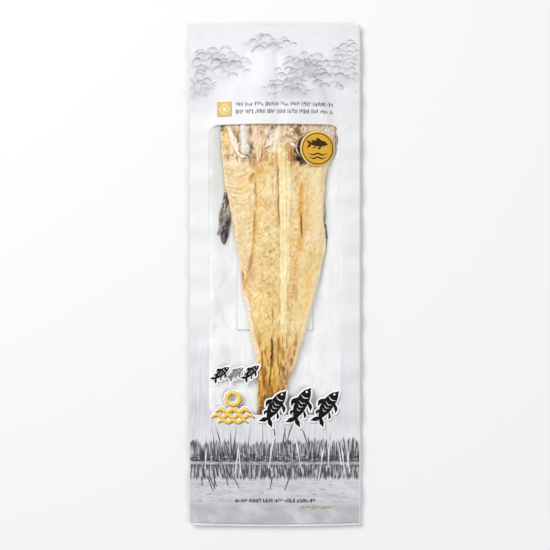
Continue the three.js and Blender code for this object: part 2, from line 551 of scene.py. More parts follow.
def cloud_wash(x, y, shade, mist):
    """Layers of the clouds: a haze over the print's top, mist round each bank, and the puffs' shade
    with brush marks in it."""
    brush = cloudy(x, y, 4, 2.6, 7, 6.0)
    patchy = cloudy(x, y, 22, 12, 9, 4.0)
    top_area = y.step(184 * MM, 210 * MM)
    haze = cloudy(x, y, 60, 26, 11).step(0.3, 0.7)
    return [
        (top_area * (haze * 0.5 + 0.45), (225, 226, 230)),
        (mist * (patchy.step(0.3, 0.64) * 0.7 + 0.1), (198, 200, 206)),
        (shade * (brush.step(0.36, 0.6) * 0.4 + 0.32), (146, 148, 155)),
        (shade * brush.step(0.54, 0.7) * 0.4, (108, 110, 117)),
    ]


def sky_wash(x, y):
    """Layers of the sky: pale, greyer towards the foot, with faint upright streaks, and greyer down the
    right margin, partly the print's own tone and partly painted shade.
    """
    streak = cloudy(x, y, 2.6, 46, 21, 3.0)
    sky = y.step(-20 * MM, -165 * MM)
    streaks = streak.step(0.40, 0.72) * sky
    wash = cloudy(x, y, 34, 52, 25, 3.0).step(0.35, 0.75)
    return [
        (sky * 0.75, (219, 220, 224)),
        (wash * sky * 0.5, (200, 202, 208)),
        (streaks * 0.45, (184, 187, 194)),
        # Greyer down the right margin: partly the print's tone, partly painted shade of the film sloping
        # from the light
        (x.step(72 * MM, 90 * MM) * 0.6, (222, 223, 226)),
    ]


def reed_bed(x, y, reed_colour):
    """Layers of the reeds: upright strokes that lean by turns and end in ragged tips, dark at their
    foot, with a broken line of water under them and then their softer reflection."""
    lean = (cloudy(x, y * 0.0, 30, 1.0, 31) - 0.5) * 0.5
    leaning = x + lean * (y + 218 * MM)
    stroke = cloudy(leaning, y, 1.5, 17, 33, 4.0)
    tip_fine = (cloudy(leaning, y * 0.0, 2.2, 1.0, 35) - 0.5) * (16 * MM)
    tip_broad = (cloudy(x, y * 0.0, 24, 1.0, 36) - 0.5) * (14 * MM)
    tips = tip_fine + tip_broad + (-193.5 * MM)
    reeds = y.below(tips).step(-0.5 * MM, 3 * MM) * y.step(-220.5 * MM, -216 * MM)
    reeds = reeds * (stroke.step(0.36, 0.60) * 0.76 + 0.26)
    foot_blots = cloudy(x, y, 7, 3, 38, 4.0).step(0.38, 0.6)
    dark_foot = y.step(-202 * MM, -214 * MM) * y.step(-219.5 * MM, -216.5 * MM) * foot_blots
    mirror = cloudy(leaning, y, 2.0, 13, 41, 4.0)
    lower = (cloudy(x, y * 0.0, 3, 1.0, 42, 3.0) - 0.5) * (12 * MM) + (-240 * MM)
    reflection = (y - lower).step(-1 * MM, 4 * MM) * y.step(-219.5 * MM, -223 * MM)
    reflection = reflection * (mirror.step(0.36, 0.56) * 0.72 + 0.3)
    level = cloudy(x, y, 16, 1.3, 45, 4.0).step(0.42, 0.56)
    broken = cloudy(x, y, 5, 2.2, 47, 5.0).step(0.44, 0.56)
    water = y.step(-215 * MM, -217.5 * MM) * y.step(-225 * MM, -222 * MM)
    water = water * (level * 0.55 + broken * 0.4 + 0.05)
    return [
        (water, (132, 134, 141)),
        (reeds * 0.92, reed_colour),
        (dark_foot * 0.85, (40, 41, 46)),
        (reflection * 0.9, reed_colour),
    ]


def shore_wash(x, y):
    """Layers of the shore and the foot: long level washes, with a painted slanting sheen where the film's
    folds shine.
    """
    shore = y.step(-236 * MM, -243 * MM)
    ripple = cloudy(x, y, 46, 5, 51, 4.0).step(0.42, 0.68)
    mark = cloudy(x, y, 12, 1.6, 53, 5.0).step(0.6, 0.68)
    foot = y.step(-262 * MM, -276 * MM)
    blot = cloudy(x, y, 28, 12, 55, 3.0).step(0.4, 0.7)
    painted_sheen = cloudy(x + y * 0.8, y - x * 0.4, 26, 40, 57, 3.0).step(0.48, 0.8)
    return [
        (shore * 0.9, (202, 204, 209)),
        (shore * ripple * 0.45, (170, 173, 182)),
        (shore * mark * 0.6, (120, 123, 130)),
        (foot * 0.75, (178, 180, 185)),
        (foot * blot * 0.35, (160, 163, 170)),
        # A painted sheen: paler slanting streaks that stand for the film's shine
        (shore * painted_sheen * 0.45, (226, 227, 231)),
    ]


def print_finish(pack):
    """The printed film: a pale ground with clouds at the top, sky beside and below the window, a bed
    of reeds in water, and a shore. The window's white edge, the clouds' shade and their mist are kept
    at the points, as a colour's red, green and blue."""
    finish, tree, shader = new_material("printed_film", 0.55, 0.22)
    x, y = place(tree)
    marks = tree.nodes.new("ShaderNodeSeparateColor")
    tree.links.new(kept_paint(tree), marks.inputs[0])
    white_edge, shade, mist = (Value(tree, marks.outputs[name]) for name in ("Red", "Green", "Blue"))
    layers = cloud_wash(x, y, shade, mist) + sky_wash(x, y)
    layers += reed_bed(x, y, screen(pack.reed_colour)) + shore_wash(x, y)
    layers += [(white_edge * 0.8, (250, 250, 251))]
    lay_colours(shader, screen(pack.paper_colour), layers)
    crinkle = cloudy(x, y, 5, 5, 61, 3.0)
    bump_from(shader, crinkle, 0.12)
    return finish


def white_film_finish(pack):
    """The plain back film: white, satin, with crinkles, soft grey patches and streaks of painted shade for
    those crinkles, greyer towards the right, and a painted shade beside the fish's left edge."""
    finish, tree, shader = new_material("white_back_film", 0.42, 0.4)
    x, y = place(tree)
    patch = cloudy(x, y, 30, 42, 71, 3.0)
    fold = cloudy(x, y, 9, 26, 77, 3.0)
    upper = y.step(20 * MM, 120 * MM) * y.step(240 * MM, 170 * MM)
    layers = [
        # Painted shade of the film's crinkles: soft grey patches and stretched grey streaks
        (patch.step(0.42, 0.66) * 0.8, (235, 236, 239)),
        (fold.step(0.50, 0.64) * 0.45, (226, 227, 231)),
        (x.step(30 * MM, 74 * MM) * 0.6, (232, 233, 234)),
        # Painted shade beside the fish's left edge, where the film lies hollow
        (x.step(-50 * MM, -70 * MM) * x.step(-100 * MM, -76 * MM) * upper * 0.95, (225, 225, 224)),
    ]
    lay_colours(shader, screen(pack.back_colour), layers)
    crinkle = cloudy(x, y, 14, 20, 73, 4.0)
    bump_from(shader, crinkle, 0.9)
    return finish


def card_finish(pack):
    """The white card: matt paper with faint fibres, and a painted shadow line, grey, along its cut sides
    and lower edge.
    """
    finish, tree, shader = new_material("white_card", 0.8, 0.2)
    x, y = place(tree)
    fibre = cloudy(x, y, 1.2, 3, 81, 4.0)
    # A painted shadow line: grey along the card's cut sides and its lower edge
    across = (x - (pack.card_left + pack.card_right) / 2).op("ABSOLUTE")
    half = (pack.card_right - pack.card_left) / 2
    side = across.step(half - 1.0 * MM, half - 0.6 * MM)
    rim = side.op("MAXIMUM", y.step(pack.card_bottom + 1.0 * MM, pack.card_bottom + 0.6 * MM))
    layers = [(fibre.step(0.45, 0.75) * 0.4, (238, 239, 239)), (rim * 0.8, (196, 198, 201))]
    lay_colours(shader, screen(pack.card_colour), layers)
    bump_from(shader, fibre, 0.05)
    return finish


def painted_finish(name, roughness, specular, grain, spread, depth, seed):
    """Dried flesh, skin or bone: the colours kept at the points, varied by a fine grain of the given
    size in millimetres and by thin strands, with roughness and bump from the same grain."""
    finish, tree, shader = new_material(name, roughness, specular)
    x, y = place(tree)
    fine = cloudy(x, y, grain, grain * 2.2, seed, 5.0)
    coarse = cloudy(x, y, grain * 4, grain * 5, seed + 1, 3.0)
    strand = cloudy(x + y * 0.25, y, grain * 0.9, grain * 6, seed + 2, 3.0)
    scale = tree.nodes.new("ShaderNodeVectorMath")
    scale.operation = "SCALE"
    tree.links.new(kept_paint(tree), scale.inputs[0])
    level = (fine + strand * 0.7 + coarse * 0.7 - 1.2) * spread + 1.02
    tree.links.new(level.socket, scale.inputs["Scale"])
    tree.links.new(scale.outputs[0], shader.inputs["Base Color"])
    gloss = fine.step(0.3, 0.75) * 0.22 + (roughness - 0.1)
    tree.links.new(gloss.socket, shader.inputs["Roughness"])
    bump_from(shader, fine + coarse * 0.8 + strand * 0.8, depth)
    return finish


def ink_finish(name, colour, roughness=0.55, specular=0.15, worn=0.25):
    """Printed ink: one colour, a little uneven as a brush leaves it."""
    finish, tree, shader = new_material(name, roughness, specular)
    x, y = place(tree)
    uneven = cloudy(x, y, 2.4, 1.6, 91, 3.0)
    lighter = tuple(min(255, c * 1.12 + 10) for c in colour)
    lay_colours(shader, colour, [(uneven.step(0.5, 0.8) * worn, lighter)])
    return finish


# ------------------------------ the fish

# Its outline, as it shows in the window, and the lines along it: (y, x) in millimetres
FISH_LEFT = line(
    [(-163, -16), (-150, -20.5), (-122, -20.1), (-105, -22), (-94, -22.9), (-68, -29.5), (-45, -31.8)]
    + [(-21, -38.1), (0, -40), (18, -42.3), (53, -48.8), (88, -54.6), (112, -59.9), (129, -61)]
    + [(147, -62.8), (164, -63.4), (176, -63), (200, -52)]
)
FISH_RIGHT = line(
    [(-163, 6), (-150, 8), (-139, 11), (-122, 16.1), (-105, 23.2), (-87, 29), (-52, 38.4), (-17, 47.7)]
    + [(1, 52.4), (18, 56.2), (36, 59.6), (53, 58.4), (65, 56.6), (82, 57.3), (100, 58.4), (118, 59.6)]
    + [(129, 62.6), (137, 66), (147, 70), (176, 70), (200, 58)]
)
FISH_BOTTOM, FISH_TOP = -150 * MM, 200 * MM
LEFT_GROOVE = line(
    [(-20, -38), (-11, -36), (18, -28.5), (41, -25.1), (94, -22.8), (130, -22.6), (150, -24), (200, -22)]
)
MIDDLE_GROOVE = line([(-110, 5.4), (-81, 5.6), (30, 4.8), (82, 4.2), (147, 3.2), (200, 2.0)])
STRIP_EDGE = line([(-110, 10), (-81, 12.6), (-52, 13.6), (0, 16.4), (60, 18), (147, 19.6), (200, 20)])
RIGHT_SLIT = line(
    [(-110, 13), (-81, 17.3), (0, 24.3), (36, 30), (44, 31), (103, 30.8), (125, 29.5), (200, 27)]
)
TAIL_SLIT = line([(-130, -6.6), (-99, -4.2), (-74, -4.0)])


def creases(x, y, size, seed, width=0.14):
    """Thin wandering lines: 1 where smooth noise passes through zero, and exp(-d^2) beside it, with
    gaps where another noise is low."""
    lines = near(bumps(x, y, size, seed), 0, width)
    return lines * ease(0.75 + bumps(x, y, np.multiply(size, 1.4), seed + 5) * 1.6)


def fibres(x, y, width, length, lean, seed):
    """Short strands that lean by an angle from the vertical: creases of noise stretched along it."""
    turn = np.radians(lean)
    across = x * np.cos(turn) - y * np.sin(turn)
    along = x * np.sin(turn) + y * np.cos(turn)
    return creases(across, along, (width, length), seed, 0.2)


def flecks(x, y, size, seed, share):
    """Small ragged spots that take about this share of the surface."""
    level = 0.95 - 1.35 * np.sqrt(share)
    return ease((bumps(x, y, size, seed) - level) / 0.3)


def zones(x, y):
    """Weights of the fish's parts, each 0 to 1. Across it, from left to right, they are the left flap,
    left back muscle, pale strip beside the middle groove, right back muscle and right flap, which
    add up to 1. Along it they are the collar, the lower half, the tail and the tail's tip."""
    a = ease((x - LEFT_GROOVE(y)) / (1.6 * MM) + 0.5)
    b = ease((x - MIDDLE_GROOVE(y)) / (1.4 * MM) + 0.5)
    wander = 2.2 * MM * bumps(x, y, (3, 14), 97)
    c = ease((x + wander - STRIP_EDGE(y)) / (6 * MM) + 0.5)
    d = ease((x - RIGHT_SLIT(y)) / (1.6 * MM) + 0.5)
    part = SimpleNamespace()
    part.left_flap, part.left_back, part.strip = 1 - a, a * (1 - b), b * (1 - c)
    part.right_back, part.right_flap = c * (1 - d), d
    part.flaps, part.backs = part.left_flap + part.right_flap, part.left_back + part.right_back
    part.collar = step(y, 122, 136)
    part.low = step(y, 20, -70)
    part.tail = step(y, -50, -94)
    part.tip = step(y, -104, -128)
    return part


def flap_lines(x, y):
    """The muscle bands that show on the flaps, each 0 to 1: the arcs between two bands on the left,
    which sag towards the middle, the crests between those arcs, and the slanting lines on the right,
    like a feather's. Each is a power of a sine of the distance across the bands."""
    share = np.clip((x - FISH_LEFT(y)) / (32 * MM), 0, 1)
    sag = 8 * MM * np.sin(np.pi * share) - 2 * MM * share
    arc = y + sag + 3.0 * MM * rough(x, y, 15, 53)
    wave = np.sin(2 * np.pi * arc / (6.6 * MM))
    comes_and_goes = ease(0.55 + 1.3 * bumps(x, y, (8, 6), 55))
    arcs = np.clip(wave, 0, 1) ** 3 * comes_and_goes
    crests = np.clip(-wave, 0, 1) ** 2 * comes_and_goes
    slant = y + 2.4 * (x - RIGHT_SLIT(y)) + 3.2 * MM * rough(x, y, 12, 59)
    feather = np.clip(np.sin(2 * np.pi * slant / (9.5 * MM)), 0, 1) ** 2
    feather = feather * ease(0.5 + 1.3 * bumps(x, y, (5, 12), 57))
    feather = feather * ease((19 * MM - x + RIGHT_SLIT(y)) / (9 * MM)) * between(y, 0, 118, 30)
    return arcs, crests, feather


# Mounds and hollows of the flesh and gristle, and patches of other colours: centre and half sizes (mm),
# turn (degrees), height (mm, negative for a hollow), colour and strength. The hollows' dark colours are
# partly painted shade and the raised lumps' pale ones partly painted highlight.
MOUNDS = (
    (-58.6, 171, 5.4, 7, 0, -0.4, (168, 134, 84), 0.75),
    (-48.6, 165, 5.4, 9, 0, -0.3, (192, 162, 130), 0.65),
    (-56, 148, 6.4, 15, 0, 0.2, (241, 206, 122), 0.45),
    (-50, 141, 9, 7, 0, 0.4, (252, 234, 194), 0.7),
    (-22.6, 167, 6, 10, 0, 0.2, (234, 218, 206), 0.7),
    (3.4, 171.4, 9, 5, 0, -0.6, (176, 152, 140), 0.65),
    (16.6, 169.6, 6, 7, 0, -0.2, (196, 166, 138), 0.5),
    (8, 161, 5, 4.4, 0, 0.4, (242, 222, 194), 0.6),
    (17.6, 150.6, 6, 6, 0, -0.4, (190, 142, 88), 0.65),
    (-14.6, 141, 9.4, 8.4, -10, -0.5, (206, 158, 96), 0.65),
    (-22, 133.2, 7.4, 6.4, -14, -0.5, (178, 116, 44), 0.75),
    (-6, 133, 9.4, 7.4, 0, -0.3, (216, 164, 82), 0.65),
    (-19.6, 123, 6.4, 6.4, 10, -0.3, (212, 158, 78), 0.65),
    (-27.6, 114, 3.6, 6.4, -14, -0.3, (214, 160, 78), 0.6),
    (-59, 158, 4.8, 14, -6, 0.7, (244, 212, 124), 0.7),
    (-61.5, 172.5, 1.4, 5, 4, -1.2, (122, 92, 42), 0.75),
    (-53, 173, 7, 4, -14, 0.6, (240, 208, 168), 0.6),
    (-47, 164.5, 4.4, 4, 30, -0.9, (172, 140, 118), 0.7),
    (-43.4, 159, 1.1, 4.4, 4, -1.6, (112, 96, 84), 0.75),
    (-28.8, 169, 1.5, 7, 6, -1.8, (140, 122, 114), 0.75),
    # A painted shadow: a dark hollow ring below and right of the round knob, where it shades the flesh
    (-33.6, 145.4, 9.6, 9.8, 0, -1.8, (92, 68, 48), 0.9),
    (-24.6, 136, 1.8, 4.6, 12, -1.2, (120, 70, 38), 0.75),
    (-19.6, 147, 4.4, 15, 2, 0.5, (244, 212, 178), 0.65),
    (-15.4, 141, 1.2, 7, -4, -0.9, (176, 126, 84), 0.6),
    (-14.2, 166, 3.2, 9, 10, -0.3, (204, 160, 130), 0.6),
    (-3, 164, 7.8, 10, 14, 0.3, (230, 214, 208), 0.7),
    (-3.4, 171.6, 1.7, 2.2, 0, -0.7, (124, 100, 108), 0.7),
    (-7.8, 161.4, 1.5, 1.8, 0, -0.7, (126, 100, 100), 0.7),
    (7.6, 168.4, 5, 4.6, 20, 0.8, (208, 180, 158), 0.65),
    (14.6, 166, 4.8, 6.6, -16, 1.2, (240, 214, 176), 0.7),
    (17.6, 156.4, 5.4, 4.0, -26, 1.0, (238, 208, 164), 0.6),
    (16.8, 161.6, 6, 2.2, -22, -1.3, (150, 108, 70), 0.7),
    (9.2, 160.4, 3.8, 1.0, 14, -0.7, (190, 146, 102), 0.5),
    (22.6, 166, 1.2, 5.4, 0, -1.0, (160, 116, 76), 0.7),
    (27.6, 168, 3.3, 8, 0, -3.2, (128, 100, 80), 0.88),
    (31, 149, 6.2, 12, 6, -4.2, (116, 68, 14), 0.95),
    (31.4, 135.6, 7, 5.8, 8, -4.4, (58, 24, 0), 0.97),
    (26.6, 143.6, 2.6, 8, 4, -4.4, (78, 38, 0), 0.92),
    (18.6, 138.6, 4.4, 9.4, 3, -0.7, (198, 134, 60), 0.75),
    (22.6, 139.4, 1.2, 7, 3, -0.9, (140, 82, 28), 0.7),
    (42, 172.6, 9, 4, 0, 0.5, (236, 208, 172), 0.6),
    (50.4, 171.4, 2.2, 3.8, 0, 0.3, (236, 186, 110), 0.7),
    (64, 169, 8.5, 8, 0, 0.2, (226, 220, 214), 0.85),
    (66, 155, 5, 9, 0, 0.2, (238, 214, 196), 0.7),
    (-48.4, 156.6, 3.4, 14, 23, -0.7, (252, 238, 220), 0.75),
    (-22.4, 160, 2.8, 20, 3, -0.5, (240, 212, 176), 0.6),
    (-1, 160, 4.6, 12, -38, -0.5, (246, 232, 212), 0.6),
    (36.8, 171, 4, 5, 0, 0.4, (236, 216, 192), 0.7),
    (-28.4, 159.4, 3.2, 4.4, 0, 0.3, (234, 220, 208), 0.65),
    (-0.6, 151, 4.4, 6, 0, 0.5, (250, 236, 208), 0.65),
    (-46, 131, 15, 4.6, -4, 0.3, (253, 238, 208), 0.55),
    (56, 121, 2.4, 11, -4, 0.3, (238, 192, 130), 0.65),
    (43.6, 128.6, 9.6, 2.4, 12, -0.5, (226, 170, 102), 0.7),
    (-38, 106, 7, 7, 0, 0.3, (238, 206, 120), 0.4),
    (-27, 116, 2.2, 5, -28, -0.6, (176, 118, 44), 0.55),
    (-28.4, 17, 3.0, 10, -6, -0.7, (192, 134, 96), 0.65),
    (-27.6, 3, 3.6, 7, 4, -0.4, (206, 150, 110), 0.55),
    (-38.2, -1.8, 1.5, 9, 2, -0.7, (172, 104, 58), 0.8),
    (24.5, 6.4, 6, 15, 0, -0.4, (228, 178, 108), 0.45),
    (24, -18, 2.6, 10, 4, -0.5, (204, 144, 74), 0.5),
    (40, -4, 4.8, 11, -6, 0.3, (240, 210, 116), 0.5),
    (-30.6, -24, 3.6, 6.4, 0, -0.3, (226, 172, 112), 0.45),
    (48, 96, 7, 26, 0, 0.3, (252, 232, 192), 0.45),
    (47, 52, 6, 16, -10, 0.4, (253, 234, 204), 0.55),
    (36, 70, 3, 22, -6, 0.0, (238, 188, 110), 0.4),
    (9, -92, 2.4, 8, 6, -0.7, (172, 120, 42), 0.7),
    (9.6, -109.4, 2.0, 3.8, -8, -1.0, (120, 62, 22), 0.8),
    (10.6, -118, 1.8, 4, 10, -0.6, (164, 108, 44), 0.6),
    (-15.4, -112.8, 2.0, 6, 0, -0.4, (188, 124, 58), 0.5),
    (-12.4, -128, 1.8, 8, 12, -0.8, (150, 92, 34), 0.65),
    (0, -125, 3, 8, 0, 0.3, (226, 176, 80), 0.55),
    (-8.6, -144, 4.6, 8, 0, -0.5, (136, 92, 40), 0.7),
)

# Lines along the fish: the line that each follows and how far to its right (mm), from and to (mm), half
# width (mm), depth (mm, negative for a ridge), colour, strength, and how broken it is, 0 to 1. A groove's
# dark colour is partly painted shade and a ridge's pale one partly painted highlight.
LINES = (
    # A painted shade along the middle groove's left side
    (MIDDLE_GROOVE, -0.8, (50, 128), 1.8, 0.7, (224, 180, 108), 0.6, 0.2),
    (MIDDLE_GROOVE, 0, (52, 132), 0.6, 1.3, (150, 106, 46), 0.75, 0.5),
    (MIDDLE_GROOVE, 0, (-116, 66), 0.7, 0.9, (190, 158, 98), 0.5, 0.7),
    (MIDDLE_GROOVE, 4.6, (0, 140), 0.45, 0.5, (210, 178, 116), 0.5, 0.6),
    (MIDDLE_GROOVE, 9.4, (-70, 150), 0.5, 0.4, (216, 180, 116), 0.5, 0.6),
    (MIDDLE_GROOVE, -5.6, (84, 160), 0.8, 0.9, (202, 154, 86), 0.6, 0.5),
    (STRIP_EDGE, 0.4, (-60, 146), 1.1, 0.4, (222, 180, 112), 0.4, 0.6),
    (LEFT_GROOVE, 0, (34, 112), 0.7, 1.4, (172, 120, 56), 0.75, 0.9),
    (LEFT_GROOVE, 0.9, (-22, 120), 1.6, 0.5, (214, 162, 76), 0.7, 0.5),
    (RIGHT_SLIT, 0, (24, 112), 2.4, 0.3, (232, 164, 56), 0.7, 0.2),
    (RIGHT_SLIT, 0, (42, 73), 0.55, 2.4, (112, 58, 14), 0.9, 0.25),
    (RIGHT_SLIT, 0, (62, 110), 0.5, 0.9, (166, 110, 54), 0.55, 0.8),
    (TAIL_SLIT, 0, (-102, -70), 0.9, 2.4, (96, 50, 8), 0.95, 0.1),
    (TAIL_SLIT, 0, (-134, -94), 0.9, 1.2, (132, 84, 6), 0.7, 0.5),
    (MIDDLE_GROOVE, -8.5, (-60, -34), 0.7, 0.8, (150, 116, 60), 0.7, 0.5),
    (MIDDLE_GROOVE, -3.6, (84, 150), 1.5, -0.9, (252, 238, 200), 0.65, 0.3),
    (MIDDLE_GROOVE, 2.5, (-60, 150), 1.2, -0.7, (255, 244, 202), 0.5, 0.35),
    (MIDDLE_GROOVE, 6.6, (-90, 150), 1.2, -0.4, (255, 246, 200), 0.4, 0.5),
    (RIGHT_SLIT, 4.6, (40, 100), 1.4, -0.5, (252, 230, 174), 0.5, 0.5),
    (LEFT_GROOVE, -2.6, (-10, 100), 1.3, -0.5, (255, 238, 196), 0.45, 0.7),
    (TAIL_SLIT, 4.2, (-112, -52), 1.6, -0.7, (248, 214, 134), 0.6, 0.3),
)


def lay_mounds(skin, x, y):
    """Lays each mound over a ragged ellipse: its weight falls from 1 to 0 as the distance from its
    centre, in half sizes and made uneven by noise, grows from 0.5 to 1.4."""
    ragged = 0.34 * rough(x, y, 3.8, 601, 2) + 0.16 * bumps(x, y, (1.5, 2.1), 603)
    for cx, cy, half_x, half_y, turn, height, colour, strength in MOUNDS:
        c, s = np.cos(np.radians(turn)), np.sin(np.radians(turn))
        dx, dy = x - cx * MM, y - cy * MM
        reach = np.hypot((dx * c + dy * s) / (half_x * MM), (dy * c - dx * s) / (half_y * MM))
        reach = reach + ragged * (0.6 + 0.4 * min(1, half_x / 4))
        skin.lay(ease((1.4 - reach) / 0.9), colour, strength, -height)


def lay_lines(skin, x, y):
    """Lays the lines along the fish: each falls away as exp(-d^2) beside its wandering route, and
    fades where a noise along it is high."""
    for k, (route, aside, span, width, deep, shade, strength, broken) in enumerate(LINES):
        centre = route(y) + aside * MM + 0.9 * MM * rough(0 * x, y, 9, 211 + 2 * k)
        gaps = 1 - broken * ease(0.35 + 1.5 * rough(0 * x, y, 8, 212 + 2 * k, 2))
        along = between(y, *span, 7) * gaps
        skin.lay(along * near(x, centre, width * MM * (0.7 + 0.5 * gaps)), shade, 1.1 * strength, deep)


def own_colours(x, part, fish):
    """The parts' own colours, mixed by their weights, and the warmer ones of the lower half, the tail and
    its tip. The left flap is painted darker and the right flap painted lighter, to offset the key lamp's
    light, which falls more on the left."""
    flap, back, pale = screen(fish.flap_colour), screen(fish.back_colour), screen(fish.strip_colour)
    # Painted shade on the left flap and painted light on the right flap, offsetting the key lamp
    own = ((part.left_flap, flap - (5, 4, -2)), (part.left_back, back), (part.strip, pale))
    own = own + ((part.right_back, back + (2, -3, 0)), (part.right_flap, flap + (6, 5, -2)))
    skin = Surface(x, sum(np.multiply.outer(weight, colour) for weight, colour in own))
    skin.lay(part.low * (1 - 0.6 * part.strip), (248, 208, 116), 0.6)
    skin.lay(part.right_flap * part.low, (246, 208, 118), 0.4)
    skin.lay(part.tail, screen(fish.tail_colour), 0.9)
    skin.lay(part.tip, screen(fish.tail_colour) * (0.8, 0.66, 0.06), 0.85)
    return skin


def lay_grain(skin, x, y, part):
    """Large soft patches, then grain: pale and dark specks of the flesh's own, the dark ones of the larger
    grain lying deeper, so that they are also painted shade in its hollows.
    """
    mottle = rough(x, y, (14, 20), 101)
    skin.lay(ease(mottle / 0.9) * (1 - 0.5 * part.tail), (255, 240, 194), 0.5)
    skin.lay(ease(-mottle / 0.9), (234, 190, 110), 0.5)
    dull = ease((rough(x, y, (9, 13), 105, 2) - 0.2) / 0.8)
    skin.lay(dull * (1 - part.tail), (230, 206, 154), 0.45)
    grain = rough(x, y, (4.2, 5.6), 31, 2)
    fine = bumps(x, y, (1.8, 2.6), 47)
    grainy = 0.6 * part.backs + 0.45 * part.flaps + 0.4 * part.strip
    tone = (grain * 0.5 + fine * 0.7) / 0.9
    skin.depth += MM * (0.7 * (1 + grain) * grainy + 0.3 * (1 - fine) * (0.3 + part.backs))
    skin.lay(grainy * ease(-tone) * (1 - 0.5 * part.tail), (255, 246, 208), 0.5)
    # Dark where the larger grain lies deeper: partly the flesh's own colour, partly painted shade in its
    # hollows
    skin.lay(grainy * ease(tone), (214, 168, 92), 0.55)


def lay_strands(skin, x, y, part):
    """Short strands and flecks, most of them on the back muscles."""
    wide, slim = (2.1, 5.6), (1.9, 4.6)
    dark = np.maximum(fibres(x, y, *wide, 34, 61), fibres(x, y, *wide, -30, 63))
    light = np.maximum(fibres(x, y, *slim, 22, 65), fibres(x, y, *slim, -40, 69))
    stranded = np.minimum(0.75 * part.backs + 0.45 * part.flaps + 0.2 * part.strip, 1)
    skin.lay(dark * stranded * (1 - 0.7 * part.tail), (188, 150, 88), 0.5, 0.6)
    skin.lay(light * stranded * (1 - 0.75 * part.tail), (255, 248, 216), 0.5)
    olive = part.left_back * near(x, -10 * MM + 0.02 * y, 10 * MM) * between(y, -90, 96, 24)
    specks = flecks(x, y, (1.7, 2.4), 67, 0.17)
    specks = specks * np.minimum(0.35 * part.left_back + 0.65 * olive, 1)
    skin.lay(specks * ease(0.6 + 0.9 * bumps(x, y, (6, 9), 68)), (150, 126, 72), 0.6, 0.5)
    rust = flecks(x, y, (1.9, 3.4), 71, 0.13)
    skin.lay(rust * (0.6 * part.right_back + 0.3 * part.flaps + 0.5 * part.tail), (186, 122, 50), 0.55, 0.4)
    bright = flecks(x, y, (1.7, 2.3), 73, 0.1) * (0.2 + 0.6 * (part.backs + 0.5 * part.flaps))
    skin.lay(bright * (1 - 0.8 * part.tail), (255, 250, 230), 0.5)


def lay_bands(skin, x, y, part):
    """Muscle bands, each a dark sunk line under a pale raised crest, partly the bands' own colour and
    partly painted shade and painted highlight, and the tail's long fibres.
    """
    arcs, crests, feather = flap_lines(x, y)
    on_left = part.left_flap * step(y, -40, -10) * (1 - part.collar)
    rungs = np.sin(2 * np.pi * (y + 1.6 * MM * rough(x, y, 7, 83, 2)) / (4.1 * MM))
    rungs = np.clip(rungs, 0, 1) ** 2 * part.right_back * between(y, -60, 40, 20)
    # Painted shade in the bands' sunk lines and painted highlight on their crests, besides their own colour
    skin.lay(arcs * on_left, (198, 154, 96), 0.5, 0.6)
    skin.lay(crests * on_left, (255, 243, 208), 0.4, -0.25)
    skin.lay(feather * part.right_flap * (1 - part.collar), (222, 162, 74), 0.65, 0.7)
    skin.lay(rungs, (212, 152, 76), 0.36, 0.35)
    fibre = bumps(x, y, (1.7, 11), 89) + 0.6 * bumps(x - 0.1 * y, y, (1.9, 5), 90)
    fibrous = np.maximum(part.tail, 0.4 * part.collar)
    skin.lay(fibrous * ease((-fibre - 0.1) / 0.6), (142, 82, 6), 0.75, 0.6)
    skin.lay(fibrous * ease((fibre - 0.15) / 0.6), (250, 212, 106), 0.6)


def lay_collar(skin, x, y, part):
    """The torn collar: everything there lies lower, with soft strands and lumps of its own, pale where
    raised and dark where sunk, partly painted highlight and painted shade.
    """
    middle = between(x, -1, 20, 2) * step(y, 154, 146)
    torn = part.collar * (1 - 0.85 * middle)
    lumps = rough(x, y, (4.8, 7), 103)
    skin.lay(torn, (238, 206, 166), 0.4, 1.7)
    # Raised lumps pale and sunk ones dark: partly the gristle's own colour, partly painted highlight and
    # painted shade
    skin.lay(torn * ease(-lumps / 0.9), (254, 238, 214), 0.6, -0.5)
    skin.lay(torn * ease((lumps - 0.2) / 0.9), (178, 130, 92), 0.5, 0.6)
    lay_mounds(skin, x, y)
    skin.lay(fibres(x, y, 2.4, 7, 6, 107) * torn, (146, 98, 62), 0.6, 0.5)
    skin.lay(fibres(x, y, 2.6, 6, -10, 109) * torn, (255, 246, 232), 0.6, -0.3)


def lay_edges(skin, x, y):
    """Pale edges, and the thin pink skin that turns over along the lower left."""
    from_left, from_right = x - FISH_LEFT(y), FISH_RIGHT(y) - x
    above_tail = step(y, -132, -102)
    skin.lay(step(from_left, 2.6, 1) * above_tail, (252, 234, 196), 0.5)
    skin.lay(step(from_right, 5.4, 2) * above_tail, (254, 236, 204), 0.6)
    flap_width = (5.6 + 1.6 * bumps(0 * x, y, 11, 117)) * MM
    along = between(y, -108, -14, 18)
    folded = along * ease((flap_width - from_left) / (2.2 * MM))
    skin.depth *= 1 - 0.7 * folded
    skin.lay(folded, (251, 233, 212), 0.75)
    skin.lay(along * near(from_left, flap_width, 0.8 * MM), (206, 160, 104), 0.5)


def flesh_surface(x, y, fish):
    """The flesh's relief and colours together, so that hollows are dark and crests pale: partly the flesh's
    own colours, partly painted shade in the hollows and painted highlight on the crests. The depth below
    the taut film is the sum of what each layer adds, and each layer moves the colour by its weight."""
    part = zones(x, y)
    skin = own_colours(x, part, fish)
    lay_grain(skin, x, y, part)
    lay_strands(skin, x, y, part)
    lay_bands(skin, x, y, part)
    lay_lines(skin, x, y)
    lay_collar(skin, x, y, part)
    lay_edges(skin, x, y)
    return skin


